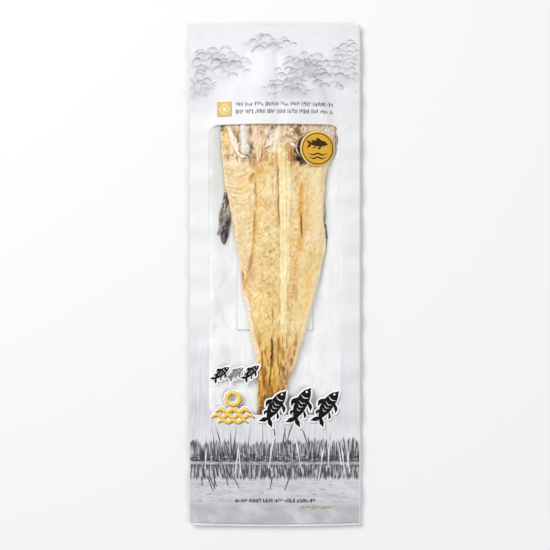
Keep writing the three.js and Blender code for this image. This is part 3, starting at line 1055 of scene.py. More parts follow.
def ragged_edges(y):
    """The fish's left and right edge, with a torn unevenness of about half a millimetre."""
    edges = []
    for edge, coarse, fine, seed in ((FISH_LEFT, 5, 1.9, 301), (FISH_RIGHT, 6, 2.1, 303)):
        torn = edge(y) + 0.5 * MM * bumps(0 * y, y, coarse, seed)
        edges.append(torn + 0.25 * MM * bumps(0 * y, y, fine, seed + 1))
    return edges


def round_off(distance, radius):
    """1 inside and falling to 0 at the edge like a quarter circle."""
    inside = np.clip(distance / radius, 0, 1)
    return np.sqrt(1 - (1 - inside) ** 2)


def frayed(x, y):
    """y with the fish's lower end pulled down by an uneven amount that depends on x alone."""
    pull = 3 * MM + 4 * MM * rough(x, 0 * x, 4.4, 305, 2)
    return y - pull * ease((FISH_BOTTOM + 26 * MM - y) / (26 * MM))


def build_flesh(fish):
    """The fish as one closed mesh: rings across it, over the top and back under. At its edges the
    two faces meet along a quarter circle each, like the edge of a rounded slab."""
    columns_top, columns_under, rows = 180, 8, 510
    least_thickness, least_gap, meeting_share = 1.0 * MM, 0.35 * MM, 0.42
    y = np.linspace(FISH_BOTTOM, FISH_TOP, rows)[:, None]
    share = np.linspace(0, 1, columns_top)[None, :]
    under = np.linspace(1, 0, columns_under + 2)[None, 1:-1]
    left, right = ragged_edges(y)
    ends = round_off(np.minimum(y - FISH_BOTTOM, FISH_TOP - y), 11 * MM)

    x_top = left + share * (right - left)
    y_top = frayed(x_top, y)
    skin = flesh_surface(x_top, y_top, fish)
    floor = under_face(x_top, y_top)
    taut = pack_front(x_top, y_top)
    upper = np.minimum(taut - fish.gap - fish.relief * skin.depth, taut - least_gap)
    upper = np.maximum(upper, floor + least_thickness)
    meeting = floor + meeting_share * (taut - fish.gap - floor)
    edge = round_off(np.minimum(x_top - left, right - x_top), 2.6 * MM) * ends
    top = with_height(x_top, y_top, meeting + (upper - meeting) * edge)

    x_under = left + under * (right - left)
    y_under = frayed(x_under, y)
    floor = under_face(x_under, y_under)
    meeting = floor + meeting_share * (pack_front(x_under, y_under) - fish.gap - floor)
    below = with_height(x_under, y_under, meeting - (meeting - floor) * ends)
    belly = Surface(x_under, (150, 132, 112))
    belly.lay(ease(rough(x_under, y_under, 6, 401)), (120, 106, 90))

    add_piece(
        "fish_flesh",
        [np.concatenate([top, below], axis=1)],
        painted_finish("dried_flesh", 0.62, 0.35, 0.8, 0.28, 0.42, 111),
        "dried_flesh",
        replaces=True,
        wrap=True,
        caps=True,
        paint=[np.concatenate([skin.paint(), belly.paint()], axis=1)],
    )


# ------------------------------ fins and bones


def fin_grid(route_mm, widths_mm, seed, rays, rows=110, columns=33):
    """A dried fin: a long leaf whose two edges lie a width either side of a middle line, lying on the
    back film and bulging a little, with ridges for its rays. Returns x, y, z and how high each point
    is on its ray, 0 to 1."""
    route = MM * np.array(route_mm, float)
    along = np.linspace(0, 1, len(route))
    t = np.linspace(0, 1, rows)
    middle_x, middle_y = curve(along, route[:, 0], t), curve(along, route[:, 1], t)
    left = MM * curve(np.linspace(0, 1, len(widths_mm)), [w[0] for w in widths_mm], t)
    right = MM * curve(np.linspace(0, 1, len(widths_mm)), [w[1] for w in widths_mm], t)
    torn = 1 + 0.05 * bumps(t, 0 * t, 90, seed + 2)
    s = np.linspace(-1, 1, columns)[None, :]
    x = middle_x[:, None] + s * np.where(s < 0, (left * torn)[:, None], right[:, None])
    y = middle_y[:, None] + 0 * s
    bend = 0.9 * bumps(y, 0 * y + s * MM, 16, seed)
    ray = np.sin(np.pi * rays * (s + 1) / 2 + bend)
    bulge = 0.8 * MM * (1 - s * s) + 0.22 * MM * ray * (1 - s**4)
    z = np.minimum(back_face(x, y) + 0.9 * MM + bulge, pack_front(x, y) - 0.9 * MM)
    return x, y, z, 0.5 + 0.5 * ray


# The fins that stick out from under the flaps: middle line, widths to its left and right (mm), seed
# and number of rays
FINS = (
    (
        [(-58.6, 98), (-57.6, 82), (-57.6, 68), (-58.4, 54), (-60, 37)],
        [(0.3, 1.6), (4.0, 3.2), (7.2, 4.6), (8.0, 5.2), (6.0, 4.4), (1.4, 0.9)],
        501,
        5,
    ),
    ([(-62.5, 60), (-65.2, 54), (-67.6, 47.5)], [(0.8, 0.9), (1.0, 1.2), (0.5, 0.4)], 502, 2),
    ([(57.2, 86), (58.2, 74), (56.6, 61)], [(1.6, 0.4), (1.6, 1.1), (1.2, 0.5)], 503, 2),
    ([(58.6, 60), (60.0, 46), (58.2, 29)], [(1.8, 0.4), (1.8, 1.0), (1.2, 0.6)], 504, 2),
)


def build_fins(fish):
    """The dark dried fins: a wide one with a spur on the left, which is pale towards its upper end,
    and two thin slivers on the right."""
    grids, paint = [], []
    for route, widths, seed, rays in FINS:
        x, y, z, high = fin_grid(route, widths, seed, rays)
        skin = Surface(x, screen(fish.fin_colour))
        streak = rough(x + 0.1 * y, y, (1.7, 12), 505, 2)
        skin.lay(1 - high, (72, 62, 62), 0.4)
        skin.lay(ease((streak - 0.05) / 0.6), (170, 160, 152), 0.75)
        skin.lay(ease((-streak - 0.15) / 0.6), (42, 35, 36), 0.8)
        skin.lay(ease((-rough(x, y, (3.6, 9), 507, 2) - 0.4) / 0.4), (30, 24, 26), 0.8)
        upper = step(y, 58, 84)
        skin.lay(upper, (226, 218, 198), 0.75)
        skin.lay(upper * ease((-streak - 0.1) / 0.4), (84, 72, 54), 0.85)
        skin.lay(between(y, 34, 54, 7) * near(x, -57 * MM, 3 * MM), (24, 18, 20), 0.75)
        grids.append(with_height(x, y, z))
        paint.append(skin.paint())
    finish = painted_finish("dried_fin", 0.6, 0.3, 0.8, 0.3, 0.2, 121)
    add_piece("fins", grids, finish, "dried_skin", thickness=0.4 * MM, paint=paint)


def build_tail(fish):
    """What is left of the tail fin: a short fan of frayed brown rays below the flesh."""
    rows, columns = 60, 90
    t = np.linspace(0, 1, rows)[:, None]
    s = np.linspace(1, -1, columns)[None, :]
    fray = 3.2 * MM * bumps(s * 0.05, s * 0, 3, 511)
    x = -4 * MM + s * (12.5 * MM + 5.5 * MM * t)
    y = -138 * MM - t * (23 * MM + 4 * MM * s * s + fray)
    ray = np.sin(11 * np.pi * (s + 1) / 2 + 0 * t)
    z = 2.6 * MM + (1 - t) * 1.2 * MM + 0.35 * MM * ray * ease(t * 4)
    skin = Surface(x, screen(fish.tail_colour) * (0.76, 0.72, 0.76))
    skin.lay(0.5 - 0.5 * ray, (108, 72, 34), 0.6)
    skin.lay(ease(bumps(x, y * 0.2, 2, 512)), (208, 168, 104), 0.5)
    grid, paint = with_height(x, y, z), skin.paint()
    finish = painted_finish("dried_tail", 0.6, 0.3, 0.8, 0.25, 0.2, 131)
    add_piece("tail_fin", [grid], finish, "dried_skin", thickness=0.5 * MM, paint=[paint])


def along_route(route_mm, widths_mm, t):
    """Middle line of a smooth route at t from 0 to 1, half its width there, and its direction, as
    (x, y, half width, direction x, direction y), each a column."""
    route = MM * np.array(route_mm, float)
    places = np.linspace(0, 1, len(route))
    x, y = smooth_curve(places, route[:, 0], t), smooth_curve(places, route[:, 1], t)
    half = MM * curve(np.linspace(0, 1, len(widths_mm)), widths_mm, t) / 2
    step_x, step_y = np.gradient(x), np.gradient(y)
    length = np.hypot(step_x, step_y)
    return [value[:, None] for value in (x, y, half, step_x / length, step_y / length)]


COLLAR_DEPTH = 3 * MM  # the collar's mean depth below the film


def rod_grid(route_mm, widths_mm, flat, lift_mm, rows=48, columns=24):
    """A bone lying on the collar: rings round a route, each an uneven ellipse flattened by a factor,
    at a lift above the collar's mean height. Returns its points and how far each is to the side, -1
    to 1."""
    t = np.linspace(0, 1, rows)
    x, y, half, along_x, along_y = along_route(route_mm, widths_mm, t)
    angle = np.linspace(0, 2 * np.pi, columns, endpoint=False)[None, :]
    half = half * (1 + 0.12 * rough(x + half * np.cos(angle), y, 5, 525))
    px = x - along_y * half * np.cos(angle)
    py = y + along_x * half * np.cos(angle)
    smooth_top = pack_front(x, y) - COLLAR_DEPTH
    z = smooth_top + lift_mm * MM + flat * half * np.sin(angle)
    z = np.clip(z, back_face(px, py) + 0.4 * MM, pack_front(px, py) - 0.3 * MM)
    return with_height(px, py, z), np.cos(angle) + 0 * px


# The widths of the round knob and the routes of the bones (mm)
ROUND = (0.4, 9.5, 12.7, 14.5, 15.5, 15.8, 15.5, 14.5, 12.7, 9.5, 0.4)
TONGUE = [(-36.2, 186), (-36.5, 172), (-36.4, 162), (-35.8, 152.6)]
KNOB = [(-35.2, 155.2), (-35, 147.6), (-34.6, 139.8)]
CREAM = [(-55.6, 179), (-53, 169.6), (-50.2, 161), (-46.6, 153), (-42.8, 145.4), (-38.4, 139.8), (-33, 138)]
STRAND = [(-24, 182), (-23.4, 172), (-22.2, 160), (-21.8, 149), (-20.4, 139), (-19.2, 130)]
INNER_STRAND = [(-9.6, 163), (-13.6, 155.4), (-16.8, 147), (-17.6, 136)]
BAND = [(4.8, 177), (3.4, 168), (0, 160), (-6, 154), (-12.4, 149)]
TOOTH = [(16.6, 154.6), (20.6, 152.2), (25, 149.6)]
LUMP = [(14.6, 166.4), (18.6, 169.6), (22.4, 168.4)]
LOWER_LUMP = [(20.4, 161.4), (24, 160), (26.6, 157)]
ARC = [(34, 164.6), (27.6, 159.4), (25, 152), (25.4, 145), (30.4, 138)]
LOOP = [(69.4, 150), (67.6, 156), (68.6, 162.6), (71, 164.6), (72.6, 160), (71.8, 154), (70, 149)]
KNOB_COLOUR = (238, 228, 216)

# Bones and gristle at the collar: route and widths (mm), how flat, lift (mm), colour, and the colour that
# it fades to at its sides, a painted shade of its rounded sides
BONES = (
    (TONGUE, (10.4, 11, 11.2, 9.4), 0.22, -0.3, (236, 231, 228), (184, 172, 160)),
    (CREAM, (3, 4.6, 6.4, 7.4, 6.6, 4.8, 1), 0.2, -0.3, (252, 240, 224), (240, 216, 178)),
    (KNOB, ROUND, 0.46, -1.0, KNOB_COLOUR, (148, 136, 116)),
    (STRAND, (3.4, 4.8, 4.0, 4.8, 3.6, 1), 0.2, -0.6, (242, 214, 174), (218, 176, 124)),
    (INNER_STRAND, (1.4, 3.6, 4.0, 1.2), 0.24, -0.5, (242, 212, 172), (212, 168, 118)),
    (BAND, (4, 6.4, 7.6, 6, 1.4), 0.14, -0.4, (246, 234, 216), (236, 212, 176)),
    (TOOTH, (1.4, 4.4, 1), 0.5, 0.5, (253, 240, 216), (226, 190, 146)),
    (LUMP, (1.2, 4.4, 1.2), 0.5, 0.0, (250, 230, 196), (212, 172, 126)),
    (LOWER_LUMP, (1, 3.4, 1), 0.5, 0.0, (248, 228, 196), (204, 164, 120)),
    (ARC, (1.4, 2.3, 2.5, 2.3, 1), 0.4, -1.8, (204, 174, 154), (146, 112, 84)),
    (LOOP, (1.6, 2.1, 2.1, 1.4), 0.7, 0.3, (226, 180, 164), (190, 140, 124)),
)


def build_bones(fish):
    """Bones and gristle at the collar: a pale tongue with a round knob, a cream band round it, soft
    strands, lumps, an arc beside the dark hollow and a small loop on the right."""
    grids, paint = [], []
    for route, widths, flat, lift, shade, side_shade in BONES:
        grid, side = rod_grid(route, widths, flat, lift)
        x, y = grid[..., 0], grid[..., 1]
        skin = Surface(x, screen(fish.bone_colour) + np.array(shade) - KNOB_COLOUR)
        stripe = rough(x, y, (1.9, 9), 521, 2)
        skin.lay(ease(stripe / 0.8), np.array(shade) * 0.84, 0.7)
        skin.lay(ease(-stripe / 0.8), (254, 248, 240), 0.45)
        # Painted shade on each bone's rounded sides
        skin.lay(ease((np.abs(side) - 0.45) / 0.5), side_shade, 0.8)
        grids.append(grid)
        paint.append(skin.paint())
    finish = painted_finish("dried_bone", 0.45, 0.45, 1.0, 0.12, 0.15, 141)
    add_piece("collar_bones", grids, finish, "dried_bone", wrap=True, caps=True, paint=paint)


# ------------------------------ films and card


def bowed(x, from_edge):
    """How far the pack's lower edge is drawn up: by the square of the distance across, and only
    within 30 mm of that edge."""
    return BOTTOM_BOW * (2 * x / WIDTH) ** 2 * step(from_edge, 30, 0)


def build_back(pack):
    """The white back film, over the pack's whole outline down to its bowed lower edge."""
    x, y = grid_over(-WIDTH / 2, WIDTH / 2, -LENGTH / 2, LENGTH / 2, columns=100, rows=290)
    y = y + bowed(x, y + LENGTH / 2)
    grid, finish = with_height(x, y, back_face(x, y)), white_film_finish(pack)
    add_piece("back_film", [grid], finish, "pack_back", replaces=True, thickness=pack.back_thickness)


def build_card(pack):
    """The white card behind the fish, which lies on the back film, a little curled at its lower
    corners."""
    edges = (pack.card_left, pack.card_right, pack.card_bottom, pack.card_top)
    x, y = grid_over(*edges, columns=60, rows=95)
    curl = ((x / pack.card_right) ** 2 * np.clip((-y - 20 * MM) / (44 * MM), 0, 1)) ** 2
    z = back_face(x, y) + pack.card_thickness + 0.1 * MM + 0.5 * MM * curl
    grid = with_height(x, y, z)
    add_piece("white_card", [grid], card_finish(pack), "sachet", thickness=pack.card_thickness)


def on_film(x, y, lift):
    """Points at a height above the printed film."""
    return with_height(x, y, film(x, y) + lift)


def build_window(pack):
    """The clear film of the window, which runs a little way under the print all round."""
    lap = 4 * MM
    left, right = pack.window_left - lap, pack.window_right + lap
    bottom, top = pack.window_bottom - lap, pack.window_top + lap
    x, y = grid_over(left, right, bottom, top, columns=132, rows=290)
    grid, finish = on_film(x, y, -FILM_UNDER_PRINT), clear_film_finish(pack.gloss_roughness)
    add_piece("window_film", [grid], finish, "pack_film", replaces=True, thickness=pack.clear_thickness)


def window_outline(pack, u, v):
    """The point of the window's round-cornered outline for each point (u, v) round a unit square: the
    square scaled to the window, and near a corner moved straight towards the corner's centre until
    it is one radius away."""
    x = pack.window_left + (pack.window_right - pack.window_left) * u
    y = pack.window_bottom + (pack.window_top - pack.window_bottom) * v
    cx = np.clip(x, pack.window_left + pack.window_corner, pack.window_right - pack.window_corner)
    cy = np.clip(y, pack.window_bottom + pack.window_corner, pack.window_top - pack.window_corner)
    away = np.maximum(np.hypot(x - cx, y - cy), 1e-9)
    scale = np.where((x != cx) & (y != cy), pack.window_corner / away, 1)
    return cx + (x - cx) * scale, cy + (y - cy) * scale


# Banks of cloud at the top of the print, each before the ones nearer: centre and half sizes (mm)
CLOUD_BANKS = (
    (-8, 271, 27, 7),
    (-66, 250, 31, 14),
    (86, 249, 18, 29),
    (38, 241, 33, 17),
    (-90, 223, 16, 11),
    (14, 218, 30, 8),
)
PUFF_HEIGHT = 0.84  # of a puff's half width


def cloud_puffs():
    """The puffs of the printed clouds, as (x, y, half width) in millimetres, each before the ones
    that cover it. Every bank has rows of them from its top down, moved about at random."""
    draw = np.random.default_rng(607)
    puffs = []
    for centre_x, centre_y, half_x, half_y in CLOUD_BANKS:
        size = 4.4 + 0.05 * half_x
        rows = 1 + int(half_y / (0.5 * size))
        for row in range(rows):
            level = 0.85 - 1.7 * row / (rows - 1)
            half = half_x * np.sqrt(1 - 0.85 * level**2)
            across = np.linspace(-1, 1, max(2, int(half / (0.56 * size))))
            x = centre_x + half * across + 0.4 * size * (row % 2)
            y = centre_y + half_y * (level - 0.3 * across**2)
            own = size * draw.uniform(0.5, 1.5, len(x)) * (1 - 0.25 * np.abs(across))
            moved = size * draw.uniform(-0.5, 0.5, (2, len(x)))
            puffs.append(np.stack([x + moved[0], y + moved[1], own], 1))
    return np.concatenate(puffs)


def cloud_tones(x, y):
    """How dark the printed clouds are and how much mist is round them, each 0 to 1.

    A puff is darkest just inside its upper rim and fades inwards as exp(-d^2), and each puff covers
    the ones before it. The mist falls from 1 to 0 across the outer part of an ellipse.
    """
    x, y = x / MM, y / MM
    shade, mist = 0 * x, 0 * x
    for centre_x, centre_y, half_x, half_y in CLOUD_BANKS:
        reach = np.hypot((x - centre_x) / (half_x + 9), (y - centre_y + 0.3 * half_y) / (half_y + 9))
        mist = np.maximum(mist, ease((1.1 - reach) / 0.8))
    for centre_x, centre_y, radius in cloud_puffs():
        up = (y - centre_y) / (PUFF_HEIGHT * radius)
        reach = np.hypot((x - centre_x) / radius, up)
        rim = near(reach, 1, 0.42) * ease(0.45 + 0.75 * up)
        shade = shade + (rim - shade) * ease((1 - reach) / 0.16)
    return shade, mist


def build_print(pack):
    """The opaque printed film: a ring from the window's outline out to the print's edge. Its paint
    keeps three numbers: 1 along the window's white edge, the clouds' shade and their mist."""
    steps_along, steps_across, rows = 190, 120, 78
    side = np.linspace(0, 1, steps_along, endpoint=False)
    end = np.linspace(0, 1, steps_across, endpoint=False)
    u = np.concatenate([end, 1 + 0 * side, 1 - end, 0 * side])
    v = np.concatenate([0 * end, side, 1 + 0 * end, 1 - side])
    inner_x, inner_y = window_outline(pack, u, v)
    outer_x = -WIDTH / 2 + BORDER_LEFT + u * (WIDTH - BORDER_LEFT - BORDER_RIGHT)
    outer_y = -LENGTH / 2 + BORDER_BOTTOM + v * (LENGTH - BORDER_BOTTOM - BORDER_TOP)
    outer_y = outer_y + bowed(outer_x, 0) * (v == 0)
    t = np.linspace(1, 0, rows)[:, None] ** 1.05  # a little closer together at the window
    x = inner_x + t * (outer_x - inner_x)
    y = inner_y + t * (outer_y - inner_y)
    edge = ease((1.1 * MM - np.hypot(x - inner_x, y - inner_y)) / (0.6 * MM))
    add_piece(
        "front_print",
        [on_film(x, y, 0)],
        print_finish(pack),
        "pack_print",
        replaces=True,
        thickness=pack.print_thickness,
        wrap=True,
        paint=[with_height(edge, *cloud_tones(x, y))],
    )


# ------------------------------ printed marks

MARK_THICKNESS = 0.05 * MM
THIN = {"rows": 14, "columns": 3}  # the grid of a thin stroke


def ribbon(route_mm, widths_mm, lift, spread=0.0, shift=(0.0, 0.0), rows=30, columns=9):
    """A brush stroke on the film: a strip of changing width along a smooth route, made longer and
    wider by spread on every side and moved by shift, at a height above the film."""
    t = np.linspace(0, 1, rows)
    x, y, half, along_x, along_y = along_route(route_mm, widths_mm, t)
    longer = spread * (2 * t[:, None] - 1)
    aside = np.linspace(-1, 1, columns)[None, :] * (half + spread)
    px = x + along_x * longer + along_y * aside + shift[0]
    py = y + along_y * longer - along_x * aside + shift[1]
    return on_film(px, py, lift)


def brushed(strokes, lift, *spread_and_shift, **grid):
    """A ribbon for each stroke, given as a route and its widths."""
    return [ribbon(route, widths, lift, *spread_and_shift, **grid) for route, widths in strokes]


def disc(centre_mm, radius_mm, lift, cells=24):
    """A flat disc on the film: a square grid bowed out to the circle by x = u sqrt(1 - v^2 / 2) and
    y = v sqrt(1 - u^2 / 2)."""
    u, v = grid_over(-1, 1, -1, 1, cells, cells)
    x = MM * (centre_mm[0] + radius_mm * u * np.sqrt(1 - v * v / 2))
    y = MM * (centre_mm[1] + radius_mm * v * np.sqrt(1 - u * u / 2))
    return on_film(x, y, lift)


def turned(points, centre, angle):
    """Points of a mark's own, x along it and y across, turned by an angle in degrees about the origin
    and moved to a centre, all in millimetres."""
    x, y = np.asarray(points, float).T
    c, s = np.cos(np.radians(angle)), np.sin(np.radians(angle))
    return np.stack([centre[0] + x * c - y * s, centre[1] + x * s + y * c], 1)


def swimming(centre, length, heading):
    """A plain fish as brush strokes, each a route and its widths: the arched body from nose to tail,
    two tail lobes, two back fins and two belly fins. Its heading is in degrees from +X."""
    spine = np.array([0.5, 0.32, 0.12, -0.08, -0.24, -0.37])
    body = np.stack([spine, 0.05 * (1 - 4 * spine**2)], 1)
    shapes = (
        (body, [0.03, 0.19, 0.28, 0.31, 0.3, 0.24, 0.15, 0.08]),
        ([(-0.34, 0.02), (-0.43, 0.1), (-0.54, 0.2)], [0.07, 0.12, 0.02]),
        ([(-0.34, 0), (-0.42, -0.08), (-0.5, -0.19)], [0.07, 0.12, 0.02]),
        ([(0.16, 0.16), (0.02, 0.25), (-0.12, 0.24)], [0.04, 0.11, 0.02]),
        ([(-0.16, 0.14), (-0.25, 0.18), (-0.32, 0.16)], [0.03, 0.07, 0.02]),
        ([(0.16, -0.08), (0.08, -0.19), (-0.02, -0.24)], [0.06, 0.09, 0.02]),
        ([(-0.1, -0.1), (-0.18, -0.17), (-0.25, -0.18)], [0.04, 0.07, 0.02]),
    )
    return [
        (turned(length * np.array(route), centre, heading), length * np.array(widths))
        for route, widths in shapes
    ]


def slits_of(centre, length, heading):
    """The unprinted lines in a swimming fish: an arc behind its head and three shorter ones."""
    slits = []
    arcs = ((0.25, 0.11, 0.024), (0.1, 0.085, 0.018), (0.0, 0.075, 0.018), (-0.1, 0.055, 0.016))
    for x, half, width in arcs:
        arc = length * np.array([(x, half + 0.04), (x - 0.04, 0.04), (x, 0.04 - half)])
        slits.append((turned(arc, centre, heading), length * np.array([0.3, 1.0, 0.3]) * width))
    return slits


def eye_of(centre, length, heading):
    """Centre and radius of a swimming fish's eye."""
    return turned([(0.37 * length, 0.05 * length)], centre, heading)[0], 0.027 * length


def wavy(left, right, y, crests, height, widths):
    """A level wavy brush stroke with this many crests, starting and ending in a trough."""
    t = np.linspace(0, 1, 2 * crests + 1)
    route = np.stack([left + (right - left) * t, y - height * np.cos(2 * np.pi * crests * t)], 1)
    return route, widths


# The printed fish: centre (mm), length (mm) and heading (degrees) of each
BLACK_FISH = (((1, -154.5), 45, 58), ((31.5, -153), 47, 64), ((62, -154.5), 45, 56))
SMALL_FISH = (((-63, -115.5), 25, 40), ((-27.5, -114), 25, 44))
GREY_FISH = (((-45.5, -115), 22, 38),)
# A sun over three waves, as brush strokes: route (mm) and widths (mm)
SUN_TURN = np.radians(np.linspace(108, -256, 11))
GOLD_STROKES = (
    (
        np.stack([-49.5 + 7.6 * np.cos(SUN_TURN), -144.4 + 7.0 * np.sin(SUN_TURN)], 1),
        [4.2, 4.6, 4.9, 4.5, 4.2, 4.6, 4.5, 4.2],
    ),
    wavy(-70, -29, -158.2, 3, 1.9, [1.0, 4.8, 3.6, 5.0, 3.4, 4.6, 1.0]),
    wavy(-74.5, -24.5, -164.6, 4, 1.9, [1.0, 4.6, 3.4, 4.8, 3.6, 4.8, 3.4, 4.4, 1.0]),
    wavy(-67, -32, -170.6, 3, 1.7, [1.0, 4.2, 3.2, 4.4, 3.2, 4.0, 1.0]),
)


def add_marks(name, grids, finish, slot, **mesh_options):
    """One piece from strips or discs of ink."""
    add_piece(name, grids, finish, slot, thickness=MARK_THICKNESS, **mesh_options)


def build_ink_marks(pack):
    """Black and grey printed fish, with a white halo and a grey shadow behind them, and unprinted
    lines and eyes in them."""
    halo, shadow = 1.5 * MM, (0.9 * MM, -1.5 * MM)
    all_fish = BLACK_FISH + SMALL_FISH + GREY_FISH
    large, small, faint = (
        [stroke for fish in group for stroke in swimming(*fish)]
        for group in (BLACK_FISH, SMALL_FISH, GREY_FISH)
    )
    slits = [slit for fish in all_fish for slit in slits_of(*fish)]
    eyes = [disc(*eye_of(*fish), 0.31 * MM, 6) for fish in all_fish]
    white = ink_finish("white_halo", (250, 250, 250))
    black = ink_finish("black_ink", screen(pack.ink_colour), worn=0.12)
    grey = ink_finish("grey_ink", screen(pack.grey_ink_colour))
    dim = ink_finish("grey_shadow", (186, 186, 190))
    add_marks("ink_marks", brushed(large + small, 0.24 * MM), black, "print_ink")
    add_marks("ink_halo", brushed(large + small + faint, 0.16 * MM, halo), white, "pack_print")
    add_marks("ink_slits", brushed(slits, 0.31 * MM, **THIN), white, "pack_print")
    add_marks("ink_eyes", eyes, white, "pack_print")
    add_marks("ink_shadow", brushed(large, 0.08 * MM, halo, shadow), dim, "print_ink")
    add_marks("grey_marks", brushed(faint, 0.24 * MM), grey, "print_ink")


def build_gold_marks(pack):
    """A gold sun over waves, with a dark edge, a pale glint along each stroke and a white halo."""
    glints = [(route, 0.3 * np.array(widths)) for route, widths in GOLD_STROKES]
    down_right, up_left = (0.5 * MM, -0.6 * MM), (-0.5 * MM, 0.7 * MM)
    gold = ink_finish("gold_ink", screen(pack.gold_colour), 0.4, 0.4)
    dark = ink_finish("gold_edge", (112, 84, 30))
    glint = ink_finish("gold_glint", (248, 222, 138), 0.4, 0.4)
    pale = ink_finish("gold_halo", (250, 250, 249))
    add_marks("gold_marks", brushed(GOLD_STROKES, 0.3 * MM), gold, "print_gold")
    add_marks("gold_edge", brushed(GOLD_STROKES, 0.22 * MM, 0.3 * MM, down_right), dark, "print_gold")
    add_marks("gold_glint", brushed(glints, 0.37 * MM, 0.0, up_left), glint, "print_gold")
    add_marks("gold_halo", brushed(GOLD_STROKES, 0.14 * MM, 1.4 * MM), pale, "pack_print")


def build_badge(pack):
    """The round badge: a gold disc with a pale rim, a dark ring, and a plain fish over two ripples."""
    radius = pack.badge_radius / MM
    x, y = centre = (pack.badge_x / MM, pack.badge_y / MM)
    gold = ink_finish("badge_gold", screen(pack.badge_colour), 0.4, 0.4, 0.6)
    dark = ink_finish("badge_ink", (58, 40, 14))
    pale = ink_finish("badge_rim", (240, 214, 150))
    motif = swimming((x, y + 5), 24, 0)
    for half, down in ((11, 6.4), (10, 10.6)):
        motif.append(wavy(x - half, x + half, y - down, 2, -0.9, [0.6, 1.7, 1.7, 0.6]))
    circle = -np.linspace(0, 2 * np.pi, 96, endpoint=False)[None, :]
    ring = MM * (radius - np.array([[2.1], [1.6], [1.1]]))
    ring_x, ring_y = pack.badge_x + ring * np.cos(circle), pack.badge_y + ring * np.sin(circle)
    add_marks("badge_halo", [disc(centre, radius + 1.1, 0.12 * MM)], pale, "print_gold")
    add_marks("badge_disc", [disc(centre, radius, 0.2 * MM)], gold, "print_gold")
    add_marks("badge_ring", [on_film(ring_x, ring_y, 0.27 * MM)], dark, "print_ink", wrap=True)
    add_marks("badge_motif", brushed(motif, 0.27 * MM), dark, "print_ink")


# The stamp's square (left, right, bottom, top) and its motif's middle, reach and dot (mm)
STAMP_SQUARE = (-68, -50.5, 185.4, 202.9)
STAMP_X, STAMP_Y, STAMP_REACH, STAMP_DOT = -59.2, 194.1, 6.4, 2.4


def build_stamp():
    """The small gold stamp: a gold square with a pale diamond and dot in it."""
    square = grid_over(*(MM * edge for edge in STAMP_SQUARE), 12, 12)
    away = STAMP_REACH * np.array([(0, 1), (1, 0), (0, -1), (-1, 0), (0, 1)])
    corners = away + (STAMP_X, STAMP_Y)
    sides = [([a, b], [1.1, 1.1]) for a, b in zip(corners, corners[1:])]
    gold = ink_finish("stamp_gold", (214, 184, 106), 0.5, 0.2)
    pale = ink_finish("stamp_pale", (246, 232, 186))
    lift = 0.18 * MM
    add_marks("stamp_ground", [on_film(*square, 0.12 * MM)], gold, "print_gold")
    add_marks("stamp_diamond", brushed(sides, lift, rows=8, columns=3), pale, "print_gold")
    add_marks("stamp_dot", [disc((STAMP_X, STAMP_Y), STAMP_DOT, lift, 8)], pale, "print_gold")


def ticks(left, right, y, height, seed, width=(0.6, 1.3), gap=0.75, group_gap=2.6):
    """A row of upright ticks of uneven height, in groups of 5 to 9. Each is a small rectangle on the
    film. All sizes are in millimetres."""
    draw = np.random.default_rng(seed)
    grids, x, in_group = [], left, 0
    while x < right:
        wide = draw.uniform(*width)
        tall = height * draw.uniform(0.35, 1.0)
        low = y + (height - tall) * draw.uniform(0, 1)
        tick = grid_over(x * MM, (x + wide) * MM, low * MM, (low + tall) * MM, 5, 4)
        grids.append(on_film(*tick, 0.06 * MM))
        in_group += 1
        x += wide
        if in_group >= draw.integers(5, 10):
            x, in_group = x + group_gap, 0
        else:
            x += gap * draw.uniform(0.7, 1.3)
    return grids


# Pieces of fine ticks: name, ink and its colour, then for each row its left and right end, lower edge
# and height (mm) and its seed, and where they differ the ticks' widths and the two gaps (mm)
TICK_ROWS = (
    (
        "small_print_top",
        ("soft_grey_ink", (104, 104, 108)),
        ((-46, 67, 196.6, 5.4, 601), (-46, 67, 188.0, 5.4, 602)),
    ),
    (
        "small_print_foot",
        ("dark_grey_ink", (50, 50, 56)),
        ((-47, 46, -266.2, 5.0, 603, (0.7, 1.4), 0.6, 2.2),),
    ),
    (
        "date_ticks",
        ("olive_ink", (166, 162, 122)),
        ((29, 66, -274.0, 4.4, 604, (0.9, 1.8), 0.35, 1.2),),
    ),
)


def build_ticks():
    """Rows of grey ticks above the window, and dark and olive ones at the foot."""
    for name, ink, rows in TICK_ROWS:
        grids = [tick for row in rows for tick in ticks(*row)]
        add_marks(name, grids, ink_finish(*ink), "print_ink")


def puff_outlines():
    """The clouds' outlines: the parts of each puff's upper rim that no later puff covers. Returns a
    route for each."""
    puffs = cloud_puffs()
    centres, sizes, order = puffs[:, :2], puffs[:, 2], np.arange(len(puffs))
    angle = np.radians(np.linspace(-8, 188, 64))
    around = np.stack([np.cos(angle), PUFF_HEIGHT * np.sin(angle)], 1)
    points = centres[:, None, :] + sizes[:, None, None] * around
    gap = points[:, :, None, :] - centres
    covered = np.hypot(gap[..., 0], gap[..., 1] / PUFF_HEIGHT) < 0.98 * sizes
    hidden = np.any(covered & (order > order[:, None])[:, None, :], axis=-1)
    hidden |= (np.abs(points[..., 0]) > 97) | (points[..., 1] > 289) | (points[..., 1] < 207)
    lines = []
    for outline, out_of_sight in zip(points, hidden):
        shown = np.flatnonzero(~out_of_sight)
        for run in np.split(shown, np.flatnonzero(np.diff(shown) > 1) + 1):
            if len(run) > 7:
                lines.append(outline[run[np.linspace(0, len(run) - 1, 7).astype(int)]])
    return lines


